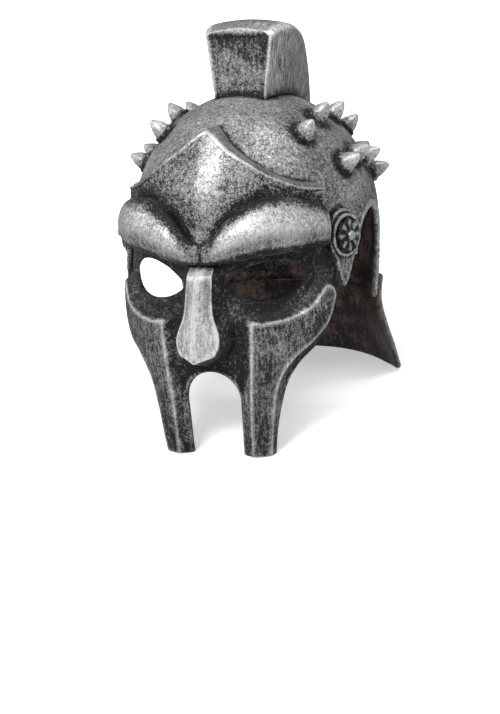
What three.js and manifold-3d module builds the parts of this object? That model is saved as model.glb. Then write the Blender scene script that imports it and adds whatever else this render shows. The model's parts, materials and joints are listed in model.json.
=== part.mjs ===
// A masked helmet in the Roman style, moulded in thin pieces: a bowl with a fore-and-aft crest, a
// frontlet with a brow roll over each eye, a face guard with eye and mouth openings, temple plates
// with rosettes, two rows of studs on each side and a flared neck guard.
// Millimetres, +Z up, face towards -Y. Every piece is shaped as the helmet is worn, with heights
// above the tips of the cheek guards. At the end the helmet leans back to stand by itself on those
// tips and on the neck guard.
import * as THREE from "three";
import { mergeVertices } from "three/addons/utils/BufferGeometryUtils.js";
import Module from "manifold-3d";

const wasm = await Module();
wasm.setup();
const { clamp, degToRad, lerp, smoothstep } = THREE.MathUtils;

// Walls and fits
const wall = 3;
const seatGap = 0.4;

// Bowl
const browHeight = 140;
const bowlHalfWidth = 79;
const bowlFront = 97;
const bowlBack = 98;
const crownRise = 85;
const bowlTempleEdge = 121;
const bowlNapeEdge = 82;

// Ear openings, seen from the side
const earCentre = 6;
const earHalfWidth = 28;
const earSpringing = 120;

// Crest
const crestRise = 48;
const crestHalfWidth = 18;
const crestTopHalfWidth = 23.5;
const crestRoot = 9;
const crestWall = 3;

// Frontlet, the plate over the forehead: it stands off the bowl along its top edge, with a slanting
// return to the bowl, and has a brow roll along its lower edge
const frontletPeak = 198;
const frontletEndTop = 168;
const frontletStand = 12;
const frontletGap = 1.8;
const returnSlope = 0.6;
const browRollProud = 13;
const browRollHeight = 34;

// Face guard
const faceReach = 100;
const noseHalfWidth = 12.5;
const noseProud = 27;
const noseTip = 69;
const noseFlank = 6;
const noseTop = 125.4;
const noseShoulder = 1.5;
const cheekProud = 6;
const cheekBevel = 6.5;
const mouthHalfWidth = 19.5;
const mouthTop = 56;
const guardGap = 0.8;

// Temple plates and rosettes
const templeBeyond = 3.3;
const templeHeight = 137;
const templeRadius = 16.5;
const templeTongue = 33;
const padRadius = 14;
const padProud = 2;
const rosetteRadius = 11;
const rosetteThickness = 2;
const rosettePetals = 8;
const knobRadius = 3.4;

// Studs
const studRadius = 7.5;
const studHeight = 13;

// Neck guard
const neckTop = 96;
const neckDrop = 66;
const neckFlare = 24;

// Horizontal sections of the shell below the brow level. up: share of the brow height. width, front
// and back: shares of the bowl's. squareness: exponent of the section's front half, 2 is an ellipse.
const shellSections = [
  { up: -0.1, width: 0.7, front: 0.89, back: 0.8, squareness: 2.6 },
  { up: 0, width: 0.76, front: 0.905, back: 0.82, squareness: 2.6 },
  { up: 0.25, width: 0.85, front: 0.94, back: 0.85, squareness: 2.6 },
  { up: 0.5, width: 0.94, front: 0.975, back: 0.9, squareness: 2.5 },
  { up: 0.75, width: 0.988, front: 0.997, back: 0.965, squareness: 2.25 },
  { up: 1, width: 1, front: 1, back: 1, squareness: 2 },
];

// The crest's stations from front to tail. around: degrees over the bowl from its front. rise and
// width: shares of the crest's. lean: degrees that the station leans back from the bowl's normal.
const crestStations = [
  { around: 78, rise: 0.87, width: 1, lean: 11 },
  { around: 82, rise: 0.9, width: 1.1, lean: 8 },
  { around: 92, rise: 0.92, width: 1.26, lean: 0 },
  { around: 104, rise: 0.82, width: 1.18, lean: 0 },
  { around: 118, rise: 0.6, width: 0.96, lean: 0 },
  { around: 131, rise: 0.4, width: 0.75, lean: 0 },
  { around: 142, rise: 0.24, width: 0.6, lean: 0 },
  { around: 151, rise: 0.1, width: 0.5, lean: 0 },
];

// The frontlet from its centre to its end. turn: share of its reach. top: share of the way from its
// end's top to its peak. stand: share of its stand. lip: height of its lower edge as a share of the
// brow height. roll and proud: height of the brow roll and how far it stands off, as shares of the
// roll's.
const frontletStations = [
  { turn: 0, top: 1, stand: 1, lip: 0.9, roll: 0.34, proud: 0.1 },
  { turn: 0.08, top: 0.91, stand: 0.96, lip: 0.9, roll: 0.48, proud: 0.42 },
  { turn: 0.2, top: 0.7, stand: 0.85, lip: 0.91, roll: 0.78, proud: 0.86 },
  { turn: 0.4, top: 0.42, stand: 0.6, lip: 0.93, roll: 1, proud: 1 },
  { turn: 0.6, top: 0.2, stand: 0.36, lip: 0.94, roll: 0.98, proud: 0.96 },
  { turn: 0.8, top: 0.06, stand: 0.2, lip: 0.945, roll: 0.88, proud: 0.76 },
  { turn: 1, top: 0, stand: 0.12, lip: 0.95, roll: 0.72, proud: 0.4 },
];

// The nose guard from its tip to its top. along: share of the way up. half: share of its half
// width. edge and ridge: shares of its height off the wall.
const noseStations = [
  { along: 0, half: 0.7, edge: 0.78, ridge: 1 },
  { along: 0.1, half: 0.95, edge: 0.72, ridge: 1 },
  { along: 0.24, half: 1, edge: 0.64, ridge: 0.97 },
  { along: 0.5, half: 0.68, edge: 0.5, ridge: 0.78 },
  { along: 1, half: 0.6, edge: 0.26, ridge: 0.42 },
];

// Outlines on the face, for the wearer's left half. across: share of the face's reach round the
// shell. up: share of the brow height. The guard's edge runs from its top corner to its tip.
const guardEdge = [
  { across: 0.86, up: 1.046 },
  { across: 0.925, up: 0.985 },
  { across: 1, up: 0.95 },
  { across: 1, up: 0.87 },
  { across: 0.965, up: 0.74 },
  { across: 0.89, up: 0.61 },
  { across: 0.77, up: 0.51 },
  { across: 0.62, up: 0.435 },
  { across: 0.53, up: 0.35 },
  { across: 0.48, up: 0.24 },
  { across: 0.435, up: 0.1 },
  { across: 0.415, up: -0.06 },
];
const cheekField = [
  { across: 0.295, up: 0.632 },
  { across: 0.38, up: 0.632 },
  { across: 0.52, up: 0.648 },
  { across: 0.68, up: 0.69 },
  { across: 0.8, up: 0.765 },
  { across: 0.87, up: 0.73 },
  { across: 0.81, up: 0.62 },
  { across: 0.69, up: 0.54 },
  { across: 0.55, up: 0.47 },
  { across: 0.45, up: 0.37 },
  { across: 0.405, up: 0.22 },
  { across: 0.36, up: -0.06 },
  { across: 0.27, up: -0.06 },
  { across: 0.268, up: 0.2 },
  { across: 0.282, up: 0.42 },
];

// An eye opening, pointed at both ends. The lids are heights above and below the line between the
// corners, as shares of the brow height, at each share of the way along it.
const eyeInner = { across: 0.135, up: 0.8 };
const eyeOuter = { across: 0.72, up: 0.835 };
const eyeLids = [
  { along: 0, upper: 0, lower: 0 },
  { along: 0.08, upper: 0.034, lower: -0.03 },
  { along: 0.25, upper: 0.074, lower: -0.066 },
  { along: 0.5, upper: 0.088, lower: -0.086 },
  { along: 0.75, upper: 0.068, lower: -0.074 },
  { along: 0.92, upper: 0.032, lower: -0.036 },
  { along: 1, upper: 0, lower: 0 },
];

// The lower end of a temple plate. across: share of its radius. down: share of its tongue.
const templeTip = [
  [-0.42, 0.86],
  [-0.16, 1],
  [0.1, 0.86],
];

// Rows of studs on each side. side: degrees out from the crest's plane. first and last: degrees
// over the bowl from straight up, forward ones negative.
const studRows = [
  { name: "upper", side: 37, first: -27, last: 58, count: 5 },
  { name: "lower", side: 60, first: -22, last: 50, count: 4 },
];

// The neck guard from its seam to its rim. down: share of its drop. out: share of its flare.
// spread: degrees each side of the back.
const neckStations = [
  { down: 0, out: 0, spread: 60 },
  { down: 0.2, out: 0.01, spread: 59 },
  { down: 0.36, out: 0.12, spread: 57 },
  { down: 0.58, out: 0.4, spread: 54 },
  { down: 0.79, out: 0.72, spread: 50 },
  { down: 1.06, out: 1.08, spread: 46 },
];

// Distance round the face from its middle to the middle of a temple plate
const templeAcross = faceReach + templeBeyond;

// A table's columns at a value of its first one, through Catmull-Rom slopes
function readTable(table, key, value) {
  const last = table.length - 1;
  const rising = table[last][key] > table[0][key];
  let i = 0;
  while (i < last - 1 && (rising ? value > table[i + 1][key] : value < table[i + 1][key])) i++;
  const [a, b] = [table[i], table[i + 1]];
  const before = table[Math.max(i - 1, 0)];
  const after = table[Math.min(i + 2, last)];
  const span = b[key] - a[key];
  const t = clamp((value - a[key]) / span, 0, 1);
  const found = {};
  for (const column of Object.keys(a)) {
    const slopeA = ((b[column] - before[column]) / (b[key] - before[key])) * span;
    const slopeB = ((after[column] - a[column]) / (after[key] - a[key])) * span;
    const step = b[column] - a[column];
    found[column] =
      a[column] + t * (slopeA + t * (3 * step - 2 * slopeA - slopeB + t * (slopeA + slopeB - 2 * step)));
  }
  return found;
}

// A point a given distance outside the shell. turn: radians round from the face towards the
// wearer's left. lift: radians over the bowl above the brow level, negative down the sides.
function shellPoint(turn, lift, out) {
  const [sin, cos] = [Math.sin(turn), Math.cos(turn)];
  let section = shellSections[shellSections.length - 1];
  let [shrink, height] = [Math.cos(lift), browHeight + crownRise * Math.sin(lift)];
  if (lift < 0) {
    height = browHeight + crownRise * lift;
    section = readTable(shellSections, "up", height / browHeight);
    shrink = 1;
  }
  const width = bowlHalfWidth * section.width;
  const depth = cos > 0 ? bowlFront * section.front : bowlBack * section.back;
  const power = cos > 0 ? section.squareness : 2;
  const [across, along] = [Math.abs(sin) / width, Math.abs(cos) / depth];
  const radius = (across ** power + along ** power) ** (-1 / power);
  const normal = new THREE.Vector3(
    (Math.sign(sin) * (across * radius) ** (power - 1) * shrink) / width,
    (-Math.sign(cos) * (along * radius) ** (power - 1) * shrink) / depth,
    lift > 0 ? Math.sin(lift) / crownRise : 0,
  ).normalize();
  const point = new THREE.Vector3(radius * sin * shrink, -radius * cos * shrink, height);
  return point.addScaledVector(normal, out);
}

// The lift of a height on the shell
function liftAt(height) {
  const rise = (height - browHeight) / crownRise;
  return rise > 0 ? Math.asin(Math.min(rise, 1)) : rise;
}

// The same, by distance round the face and height
function facePoint(across, height, out) {
  return shellPoint(across / bowlFront, liftAt(height), out);
}

// A closed solid from a geometry whichever way its faces run, and a geometry from a solid
function solidOf(geometry) {
  const bare = geometry.index ? geometry.toNonIndexed() : geometry.clone();
  bare.deleteAttribute("normal");
  bare.deleteAttribute("uv");
  const merged = mergeVertices(bare, 1e-4);
  const faces = [];
  for (let i = 0; i < merged.index.count; i += 3) {
    const [a, b, c] = merged.index.array.slice(i, i + 3);
    if (a !== b && b !== c && c !== a) faces.push([a, b, c]);
  }
  const meshOf = (corners) =>
    new wasm.Mesh({
      numProp: 3,
      vertProperties: new Float32Array(merged.attributes.position.array),
      triVerts: new Uint32Array(corners.flat()),
    });
  const solid = new wasm.Manifold(meshOf(faces));
  return solid.volume() > 0 ? solid : new wasm.Manifold(meshOf(faces.map(([a, b, c]) => [a, c, b])));
}

function geometryOf(solid) {
  const mesh = solid.getMesh();
  const positions = new Float32Array(mesh.numVert * 3);
  for (let i = 0; i < mesh.numVert; i++) {
    positions.set(mesh.vertProperties.subarray(i * mesh.numProp, i * mesh.numProp + 3), i * 3);
  }
  const geometry = new THREE.BufferGeometry();
  geometry.setAttribute("position", new THREE.BufferAttribute(positions, 3));
  geometry.setIndex(new THREE.BufferAttribute(mesh.triVerts, 1));
  geometry.computeVertexNormals();
  return geometry;
}

// A wall between an outer and an inner grid of points, closed along all four sides
function wallBetween(outer, inner) {
  const [rows, columns] = [outer.length, outer[0].length];
  const positions = [...outer.flat(), ...inner.flat()].flatMap((p) => [p.x, p.y, p.z]);
  const index = [];
  const at = (face, row, column) => (face * rows + row) * columns + column;
  const quad = (a, b, c, d) => index.push(a, b, c, a, c, d);
  for (let r = 0; r < rows - 1; r++) {
    for (let c = 0; c < columns - 1; c++) {
      quad(at(0, r, c), at(0, r, c + 1), at(0, r + 1, c + 1), at(0, r + 1, c));
      quad(at(1, r, c), at(1, r + 1, c), at(1, r + 1, c + 1), at(1, r, c + 1));
    }
    quad(at(0, r, 0), at(0, r + 1, 0), at(1, r + 1, 0), at(1, r, 0));
    const end = columns - 1;
    quad(at(0, r, end), at(1, r, end), at(1, r + 1, end), at(0, r + 1, end));
  }
  for (let c = 0; c < columns - 1; c++) {
    quad(at(0, 0, c), at(1, 0, c), at(1, 0, c + 1), at(0, 0, c + 1));
    const end = rows - 1;
    quad(at(0, end, c), at(0, end, c + 1), at(1, end, c + 1), at(1, end, c));
  }
  const geometry = new THREE.BufferGeometry();
  geometry.setAttribute("position", new THREE.Float32BufferAttribute(positions, 3));
  geometry.setIndex(index);
  return solidOf(geometry);
}

// A grid of points over two ranges of values
function gridOf(rowValues, columnValues, point) {
  return rowValues.map((row) => columnValues.map((column) => point(row, column)));
}

function steps(from, to, count) {
  return Array.from({ length: count + 1 }, (unused, i) => lerp(from, to, i / count));
}

// The space inside the shell grown by a distance, from the crown down to a height
function shellBody(out, bottom, columns, rows) {
  const turns = steps(0, 2 * Math.PI, columns);
  const lifts = steps(Math.PI / 2, liftAt(bottom), rows);
  const rings = gridOf(lifts, turns, (lift, turn) => shellPoint(turn, lift, out));
  for (const ring of rings) ring[columns] = ring[0];
  const centre = new THREE.Vector3(0, 0, bottom);
  const floor = turns.map(() => centre);
  const positions = [...rings.flat(), ...floor].flatMap((p) => [p.x, p.y, p.z]);
  const index = [];
  for (let r = 0; r <= rows; r++) {
    for (let c = 0; c < columns; c++) {
      const [a, b] = [r * (columns + 1) + c, (r + 1) * (columns + 1) + c];
      index.push(a, a + 1, b + 1, a, b + 1, b);
    }
  }
  const geometry = new THREE.BufferGeometry();
  geometry.setAttribute("position", new THREE.Float32BufferAttribute(positions, 3));
  geometry.setIndex(index);
  return solidOf(geometry);
}

// A prism of an outline drawn in the view along X (y, z), Y (x, z) or Z (x, y)
function prismAlong(axis, outline, from, to) {
  const settings = { depth: to - from, bevelEnabled: false, curveSegments: 20 };
  const geometry = new THREE.ExtrudeGeometry(outline, settings);
  geometry.translate(0, 0, from);
  const basis = {
    X: [new THREE.Vector3(0, 1, 0), new THREE.Vector3(0, 0, 1), new THREE.Vector3(1, 0, 0)],
    Y: [new THREE.Vector3(-1, 0, 0), new THREE.Vector3(0, 0, 1), new THREE.Vector3(0, 1, 0)],
    Z: [new THREE.Vector3(1, 0, 0), new THREE.Vector3(0, 1, 0), new THREE.Vector3(0, 0, 1)],
  }[axis];
  geometry.applyMatrix4(new THREE.Matrix4().makeBasis(...basis));
  return solidOf(geometry);
}

// Far enough for a cutter to reach past everything
const clearOfAll = 4 * faceReach;

// The face's grid: rows at the nose guard's ends, and columns that follow its edges and flanks
const guardTop = guardEdge[0].up * browHeight;
const faceRows = [
  ...steps(-0.05 * browHeight, noseTip - noseFlank, 6),
  ...steps(noseTip, noseTop - noseShoulder, 9),
  ...steps(noseTop + noseShoulder / 3, guardTop + wall, 3),
].reverse();
const sideColumns = 15;
const noseColumns = 3;
const lastColumn = noseColumns + sideColumns;
const faceColumns = steps(-lastColumn, lastColumn, 2 * lastColumn);

function faceColumn(column, height) {
  const half = noseStation(height).half * noseHalfWidth;
  const near = [0, half / 2, half, half + noseFlank];
  const far = lerp(near[noseColumns], faceReach + wall, (Math.abs(column) - noseColumns) / sideColumns);
  return Math.sign(column) * (near[Math.abs(column)] ?? far);
}

// A dome under the flat drawings, taken out again when they are bent, so that no two of their facets
// lie in one plane
function flatDome(across, height) {
  return (across ** 2 + (height - browHeight / 2) ** 2) / (15 * faceReach);
}

// A wall drawn flat: x is the distance round the face, y the height, z the distance off the shell
function flatWall(top, bottom) {
  const face = (off) =>
    gridOf(faceRows, faceColumns, (height, column) => {
      const across = faceColumn(column, height);
      return new THREE.Vector3(across, height, off(across, height) + flatDome(across, height));
    });
  return wallBetween(face(top), face(bottom));
}

// An outline drawn flat, as a prism through the wall
function flatPrism(points) {
  const outline = new THREE.Shape(points.map(([across, height]) => new THREE.Vector2(across, height)));
  const prism = new THREE.ExtrudeGeometry(outline, { depth: 2 * faceReach, bevelEnabled: false });
  return solidOf(prism.translate(0, 0, -faceReach));
}

// A flat solid bent onto the shell
function bent(flat) {
  const geometry = geometryOf(flat);
  const { position } = geometry.attributes;
  for (let i = 0; i < position.count; i++) {
    const [across, height] = [position.getX(i), position.getY(i)];
    const point = facePoint(across, height, position.getZ(i) - flatDome(across, height));
    position.setXYZ(i, point.x, point.y, point.z);
  }
  return solidOf(geometry);
}

// The face guard's whole outline, grown by a distance
function guardOutline(grown) {
  const half = guardEdge.map(({ across, up }) => [across * faceReach + grown, up * browHeight + grown]);
  return [...half, ...half.reverse().map(([across, height]) => [-across, height])];
}

// Bowl: the shell above its edge line, which steps down at the temples and arches over the ears,
// and clear of the face guard
function bowlSolid() {
  const outer = shellBody(0, bowlNapeEdge - 3 * wall, 36, 11);
  const inner = shellBody(-wall, bowlNapeEdge - 6 * wall, 36, 11);
  const edge = new THREE.Shape();
  edge.moveTo(-clearOfAll, 0);
  edge.lineTo(-clearOfAll, bowlTempleEdge);
  edge.lineTo(earCentre - earHalfWidth, bowlTempleEdge);
  edge.lineTo(earCentre - earHalfWidth, earSpringing);
  edge.absarc(earCentre, earSpringing, earHalfWidth, Math.PI, 0, true);
  edge.lineTo(earCentre + earHalfWidth, bowlNapeEdge);
  edge.lineTo(clearOfAll, bowlNapeEdge);
  edge.lineTo(clearOfAll, 0);
  const thick = flatWall(
    () => 3 * wall,
    () => -3 * wall,
  );
  const guard = bent(thick.intersect(flatPrism(guardOutline(guardGap))));
  return outer.subtract(inner).subtract(prismAlong("X", edge, -clearOfAll, clearOfAll)).subtract(guard);
}

// Crest: a hollow comb along the bowl's middle, open towards the bowl
function crestLoft(inset, root) {
  const stations = crestStations.map(({ around, rise, width, lean }) => {
    const turn = around < 90 ? 0 : Math.PI;
    const lift = degToRad(around < 90 ? around : 180 - around);
    const foot = shellPoint(turn, lift, 0);
    const up = shellPoint(turn, lift, 1).sub(foot);
    up.applyAxisAngle(new THREE.Vector3(1, 0, 0), -degToRad(lean));
    return { foot, up, rise: rise * crestRise, width };
  });
  const first = stations[0];
  const last = stations[stations.length - 1];
  const inwards = new THREE.Vector3(1, 0, 0);
  first.foot.addScaledVector(first.up.clone().cross(inwards), inset);
  last.foot.addScaledVector(inwards.cross(last.up), inset);
  const rings = stations.map(({ foot, up, rise, width }) => {
    const taper = (height) =>
      width * lerp(crestHalfWidth, crestTopHalfWidth, clamp(height / crestRise, 0, 1)) - inset;
    const crown = Math.max(rise - inset, crestWall / 6);
    const shoulder = crown - Math.min(crown * 0.2, crestWall);
    const levels = [
      [taper(0), -root],
      [taper(0), 0],
      [taper(shoulder), shoulder],
      [taper(crown) * 0.75, crown],
    ];
    const right = levels.map(([x, z]) => foot.clone().addScaledVector(up, z).setX(x));
    const left = [...right].reverse().map((p) => p.clone().setX(-p.x));
    return [...right, ...left, right[0]];
  });
  const count = rings[0].length;
  const positions = rings.flat().flatMap((p) => [p.x, p.y, p.z]);
  const index = [];
  for (let r = 0; r < rings.length - 1; r++) {
    for (let c = 0; c < count - 1; c++) {
      const [a, b] = [r * count + c, (r + 1) * count + c];
      index.push(a, b, b + 1, a, b + 1, a + 1);
    }
  }
  const end = (rings.length - 1) * count;
  for (let c = 1; c < count - 2; c++) {
    index.push(0, c, c + 1);
    index.push(end, end + c + 1, end + c);
  }
  const geometry = new THREE.BufferGeometry();
  geometry.setAttribute("position", new THREE.Float32BufferAttribute(positions, 3));
  geometry.setIndex(index);
  return solidOf(geometry);
}

function crestSolid() {
  const seat = shellBody(seatGap, browHeight, 40, 16);
  return crestLoft(0, crestRoot).subtract(crestLoft(crestWall, 2 * crestRoot)).subtract(seat);
}

// Frontlet: inner and outer faces from the return's foot down over the panel to the brow roll
function frontletSolid() {
  const reach = templeAcross - templeRadius - frontletGap;
  const turns = steps(-1, 1, 26).map((share) => (share * reach) / bowlFront);
  const rollRows = [0, 0.12, 0.3, 0.5, 0.7, 0.88, 1];
  const panelRows = [0.34, 0.67, 1];
  const foot = "foot";
  const faces = [0, 1].map((outer) => {
    const point = (row, turn) => {
      const at = readTable(frontletStations, "turn", (Math.abs(turn) * bowlFront) / reach);
      const lip = at.lip * browHeight;
      const rollTop = lip + at.roll * browRollHeight;
      const top = lerp(frontletEndTop, frontletPeak, at.top);
      const stand = at.stand * frontletStand;
      if (row === foot) return shellPoint(turn, liftAt(top + returnSlope * stand + outer * wall), seatGap);
      const edge = top - (1 - outer) * 0.3 * wall;
      const height = row <= 1 ? lerp(lip, rollTop, row) : lerp(rollTop, edge, row - 1);
      const swell = Math.sqrt(Math.max(0, 1 - (2 * row - 1) ** 2)) * at.proud * browRollProud;
      const off = row <= 1 ? swell : (row - 1) * stand;
      return shellPoint(turn, liftAt(height), seatGap + off + outer * wall);
    };
    return gridOf([...rollRows, ...panelRows.map((row) => 1 + row), foot].reverse(), turns, point);
  });
  return wallBetween(faces[1], faces[0]);
}

// Height of the nose guard off the wall
function noseStation(height) {
  return readTable(noseStations, "along", (height - noseTip) / (noseTop - noseTip));
}

function noseRise(across, height) {
  const at = noseStation(height);
  const half = at.half * noseHalfWidth;
  const [edge, ridge] = [at.edge * noseProud, at.ridge * noseProud];
  const below = Math.max(noseTip - height, 0);
  const beyond = Math.hypot(Math.max(Math.abs(across) - half, 0), below);
  const blade = lerp(ridge, edge, Math.min(Math.abs(across) / half, 1));
  const top = clamp((noseTop - height) / noseShoulder, 0, 1);
  return top * Math.max(blade - (edge / noseFlank) * beyond, 0);
}

// Height of the cheeks' raised fields off the wall, bevelled down all round
const cheekCorners = cheekField.map(({ across, up }) => {
  return new THREE.Vector2(across * faceReach, up * browHeight);
});

function cheekRise(across, height) {
  const point = new THREE.Vector2(Math.abs(across), height);
  let [inside, distance] = [false, Infinity];
  cheekCorners.forEach((a, i) => {
    const b = cheekCorners[(i + 1) % cheekCorners.length];
    const side = b.clone().sub(a);
    const share = clamp(point.clone().sub(a).dot(side) / side.lengthSq(), 0, 1);
    distance = Math.min(distance, point.distanceTo(a.clone().addScaledVector(side, share)));
    const crosses = a.y > height !== b.y > height;
    if (crosses && point.x < a.x + ((height - a.y) / side.y) * side.x) inside = !inside;
  });
  return inside ? cheekProud : cheekProud * Math.max(0, 1 - distance / cheekBevel);
}

// The eye opening's outline, lower lid then upper lid, in millimetres on the face
function eyeOutline(side) {
  const lid = (along, column) => [
    side * faceReach * lerp(eyeInner.across, eyeOuter.across, along),
    browHeight * (lerp(eyeInner.up, eyeOuter.up, along) + readTable(eyeLids, "along", along)[column]),
  ];
  const along = steps(0, 1, 10);
  const lower = along.slice(0, -1).map((t) => lid(t, "lower"));
  const upper = along.slice(1).map((t) => lid(t, "upper"));
  return [...lower, ...upper.reverse()];
}

// Face guard: a wall with the nose and cheeks raised, cut to its edge, eyes and mouth
function faceGuardSolid() {
  const raised = (across, height) => Math.max(noseRise(across, height), cheekRise(across, height));
  const arch = steps(0, Math.PI, 12).map((turn) => [
    mouthHalfWidth * Math.cos(turn),
    mouthTop - mouthHalfWidth * (1 - Math.sin(turn)),
  ]);
  const mouth = [[-mouthHalfWidth, -browHeight], [mouthHalfWidth, -browHeight], ...arch];
  const flat = flatWall(raised, (across, height) => raised(across, height) - wall)
    .intersect(flatPrism(guardOutline(0)))
    .subtract(flatPrism(mouth))
    .subtract(flatPrism(eyeOutline(1)))
    .subtract(flatPrism(eyeOutline(-1)));
  return bent(flat);
}

// The frame of a temple plate's middle: its seat on the wall and the way it faces
function templeFrame(side, out) {
  const turn = (side * templeAcross) / bowlFront;
  const lift = liftAt(templeHeight);
  const seat = shellPoint(turn, lift, out);
  const normal = shellPoint(turn, lift, 1).sub(shellPoint(turn, lift, 0));
  return new THREE.Matrix4()
    .makeTranslation(seat.x, seat.y, seat.z)
    .multiply(new THREE.Matrix4().makeRotationFromQuaternion(facing(normal)));
}

// The turn that takes +Z to a direction
function facing(direction) {
  return new THREE.Quaternion().setFromUnitVectors(new THREE.Vector3(0, 0, 1), direction);
}

// Temple plate: a drop-shaped plate over the joint of bowl and face guard, with a flat round pad
function templePlateSolid(side) {
  const outline = steps(-0.22 * Math.PI, 1.22 * Math.PI, 14).map((turn) => [
    templeRadius * Math.cos(turn),
    templeRadius * Math.sin(turn),
  ]);
  for (const [across, down] of templeTip) outline.push([across * templeRadius, -down * templeTongue]);
  const reach = steps(-1.1, 1.1, 4).map((share) => side * (templeAcross + share * templeRadius));
  if (side < 0) reach.reverse();
  const heights = steps(templeHeight + 1.1 * templeRadius, templeHeight - 1.1 * templeTongue, 6);
  const face = (out) =>
    gridOf(heights, reach, (height, across) => {
      return new THREE.Vector3(across, height, out + flatDome(across, height));
    });
  const flat = wallBetween(face(seatGap + wall), face(seatGap)).intersect(
    flatPrism(outline.map(([across, height]) => [side * (templeAcross + across), templeHeight + height])),
  );
  const padDepth = padProud + 0.6 * wall;
  const pad = new THREE.CylinderGeometry(padRadius, padRadius, padDepth, 20);
  pad.rotateX(Math.PI / 2).translate(0, 0, wall + padProud - padDepth / 2);
  pad.applyMatrix4(templeFrame(side, seatGap));
  return bent(flat).add(solidOf(pad));
}

// Rosette: petals round a domed knob, seated on the temple plate's pad
function rosetteSolid() {
  const flower = new THREE.Shape();
  const corners = 4 * rosettePetals;
  for (let i = 0; i < corners; i++) {
    const turn = (2 * Math.PI * i) / corners;
    const radius = rosetteRadius * (0.84 + 0.16 * Math.abs(Math.cos((rosettePetals * turn) / 2)));
    flower[i ? "lineTo" : "moveTo"](radius * Math.cos(turn), radius * Math.sin(turn));
  }
  const petals = new THREE.ExtrudeGeometry(flower, { depth: rosetteThickness, bevelEnabled: false });
  const sunk = 0.4 * rosetteThickness;
  const dome = steps(0, Math.PI / 2, 4).map((t) => [knobRadius * Math.cos(t), knobRadius * Math.sin(t)]);
  dome[4][0] = 0;
  const profile = [[0, -sunk], [knobRadius, -sunk], ...dome];
  const knob = new THREE.LatheGeometry(profile.map((point) => new THREE.Vector2(...point)), 16);
  knob.rotateX(Math.PI / 2).translate(0, 0, rosetteThickness);
  return solidOf(petals).add(solidOf(knob));
}

// Stud: a collar under a blunt point
function studSolid() {
  const profile = [
    [0, 0],
    [1, 0],
    [1, 0.16],
    [0.78, 0.24],
    [0.66, 0.5],
    [0.3, 0.88],
    [0, 1],
  ].map(([radius, height]) => new THREE.Vector2(radius * studRadius, height * studHeight));
  return solidOf(new THREE.LatheGeometry(profile, 8).rotateX(Math.PI / 2));
}

function studSeats() {
  const seats = [];
  for (const { name, side, first, last, count } of studRows) {
    for (let i = 0; i < count; i++) {
      const along = degToRad(lerp(first, last, i / (count - 1)));
      const out = degToRad(side);
      const way = new THREE.Vector3(Math.tan(out), Math.sin(along), Math.cos(along)).normalize();
      const depth = along < 0 ? bowlFront : bowlBack;
      const seat = new THREE.Vector3(way.x * bowlHalfWidth, way.y * depth, browHeight + way.z * crownRise);
      const normal = new THREE.Vector3(way.x / bowlHalfWidth, way.y / depth, way.z / crownRise).normalize();
      seats.push({ name: `${name}_${i + 1}`, seat, normal });
    }
  }
  return seats;
}

// Neck guard: laps over the bowl's nape edge and flares out to its rim
function neckGuardSolid() {
  const shares = [0, 0.24, 0.4, 0.54, 0.7, 0.88, 1.06];
  const face = (extra) =>
    gridOf(shares, steps(-1, 1, 18), (down, t) => {
      const at = readTable(neckStations, "down", down);
      const height = neckTop - down * neckDrop;
      const turn = Math.PI - t * degToRad(at.spread);
      return shellPoint(turn, liftAt(height), seatGap + at.out * neckFlare + extra);
    });
  return wallBetween(face(wall), face(0));
}

// The plane that the helmet stands on, through the cheek guards' tips and the neck guard's rim
const shellFoot = readTable(shellSections, "up", 0);
const rimHeight = neckTop - neckDrop;
const shellNape = readTable(shellSections, "up", rimHeight / browHeight);
const frontReach = bowlFront * shellFoot.front;
const rearReach = bowlBack * shellNape.back + neckFlare;
const restLean = Math.atan2(rimHeight, frontReach + rearReach);

function belowFloor() {
  const block = new THREE.BoxGeometry(clearOfAll, 2 * clearOfAll, clearOfAll);
  block.translate(0, 0, -clearOfAll / 2).rotateX(restLean).translate(0, -frontReach, 0);
  return solidOf(block);
}

const silver = new THREE.MeshStandardMaterial({ color: 0x8f9294, roughness: 0.42, metalness: 0.7 });
const darkSilver = new THREE.MeshStandardMaterial({ color: 0x5c5e60, roughness: 0.5, metalness: 0.6 });
const brightSilver = new THREE.MeshStandardMaterial({ color: 0xb4b7ba, roughness: 0.36, metalness: 0.75 });

function piece(name, solid, material) {
  const mesh = new THREE.Mesh(geometryOf(solid), material);
  mesh.name = name;
  return mesh;
}

const worn = new THREE.Group();
const floor = belowFloor();
worn.add(piece("bowl", bowlSolid(), silver.clone()));
worn.add(piece("crest", crestSolid(), silver.clone()));
worn.add(piece("frontlet", frontletSolid(), silver.clone()));
worn.add(piece("face_guard", faceGuardSolid().subtract(floor), silver.clone()));
worn.add(piece("neck_guard", neckGuardSolid().subtract(floor), darkSilver.clone()));
for (const [hand, side] of [
  ["left", 1],
  ["right", -1],
]) {
  worn.add(piece(`temple_plate_${hand}`, templePlateSolid(side), silver.clone()));
  const rosette = piece(`rosette_${hand}`, rosetteSolid(), darkSilver.clone());
  rosette.applyMatrix4(templeFrame(side, 2 * seatGap + wall + padProud));
  worn.add(rosette);
  for (const { name, seat, normal } of studSeats()) {
    const stud = piece(`stud_${hand}_${name}`, studSolid(), brightSilver.clone());
    const way = normal.clone().setX(side * normal.x);
    stud.position.copy(seat).setX(side * seat.x).addScaledVector(way, seatGap);
    stud.quaternion.copy(facing(way));
    worn.add(stud);
  }
}

// Stood on the floor, with the origin under the middle of its outline
worn.rotation.x = -restLean;
const helmet = new THREE.Group();
helmet.add(worn);
const box = new THREE.Box3().setFromObject(helmet, true);
worn.position.set(0, -(box.min.y + box.max.y) / 2, -box.min.z);

export default helmet;
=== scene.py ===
import json
import math
import bmesh
import bpy
import numpy as np
from mathutils import Matrix, Vector
from mathutils.bvhtree import BVHTree
from mathutils.geometry import delaunay_2d_cdt

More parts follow.
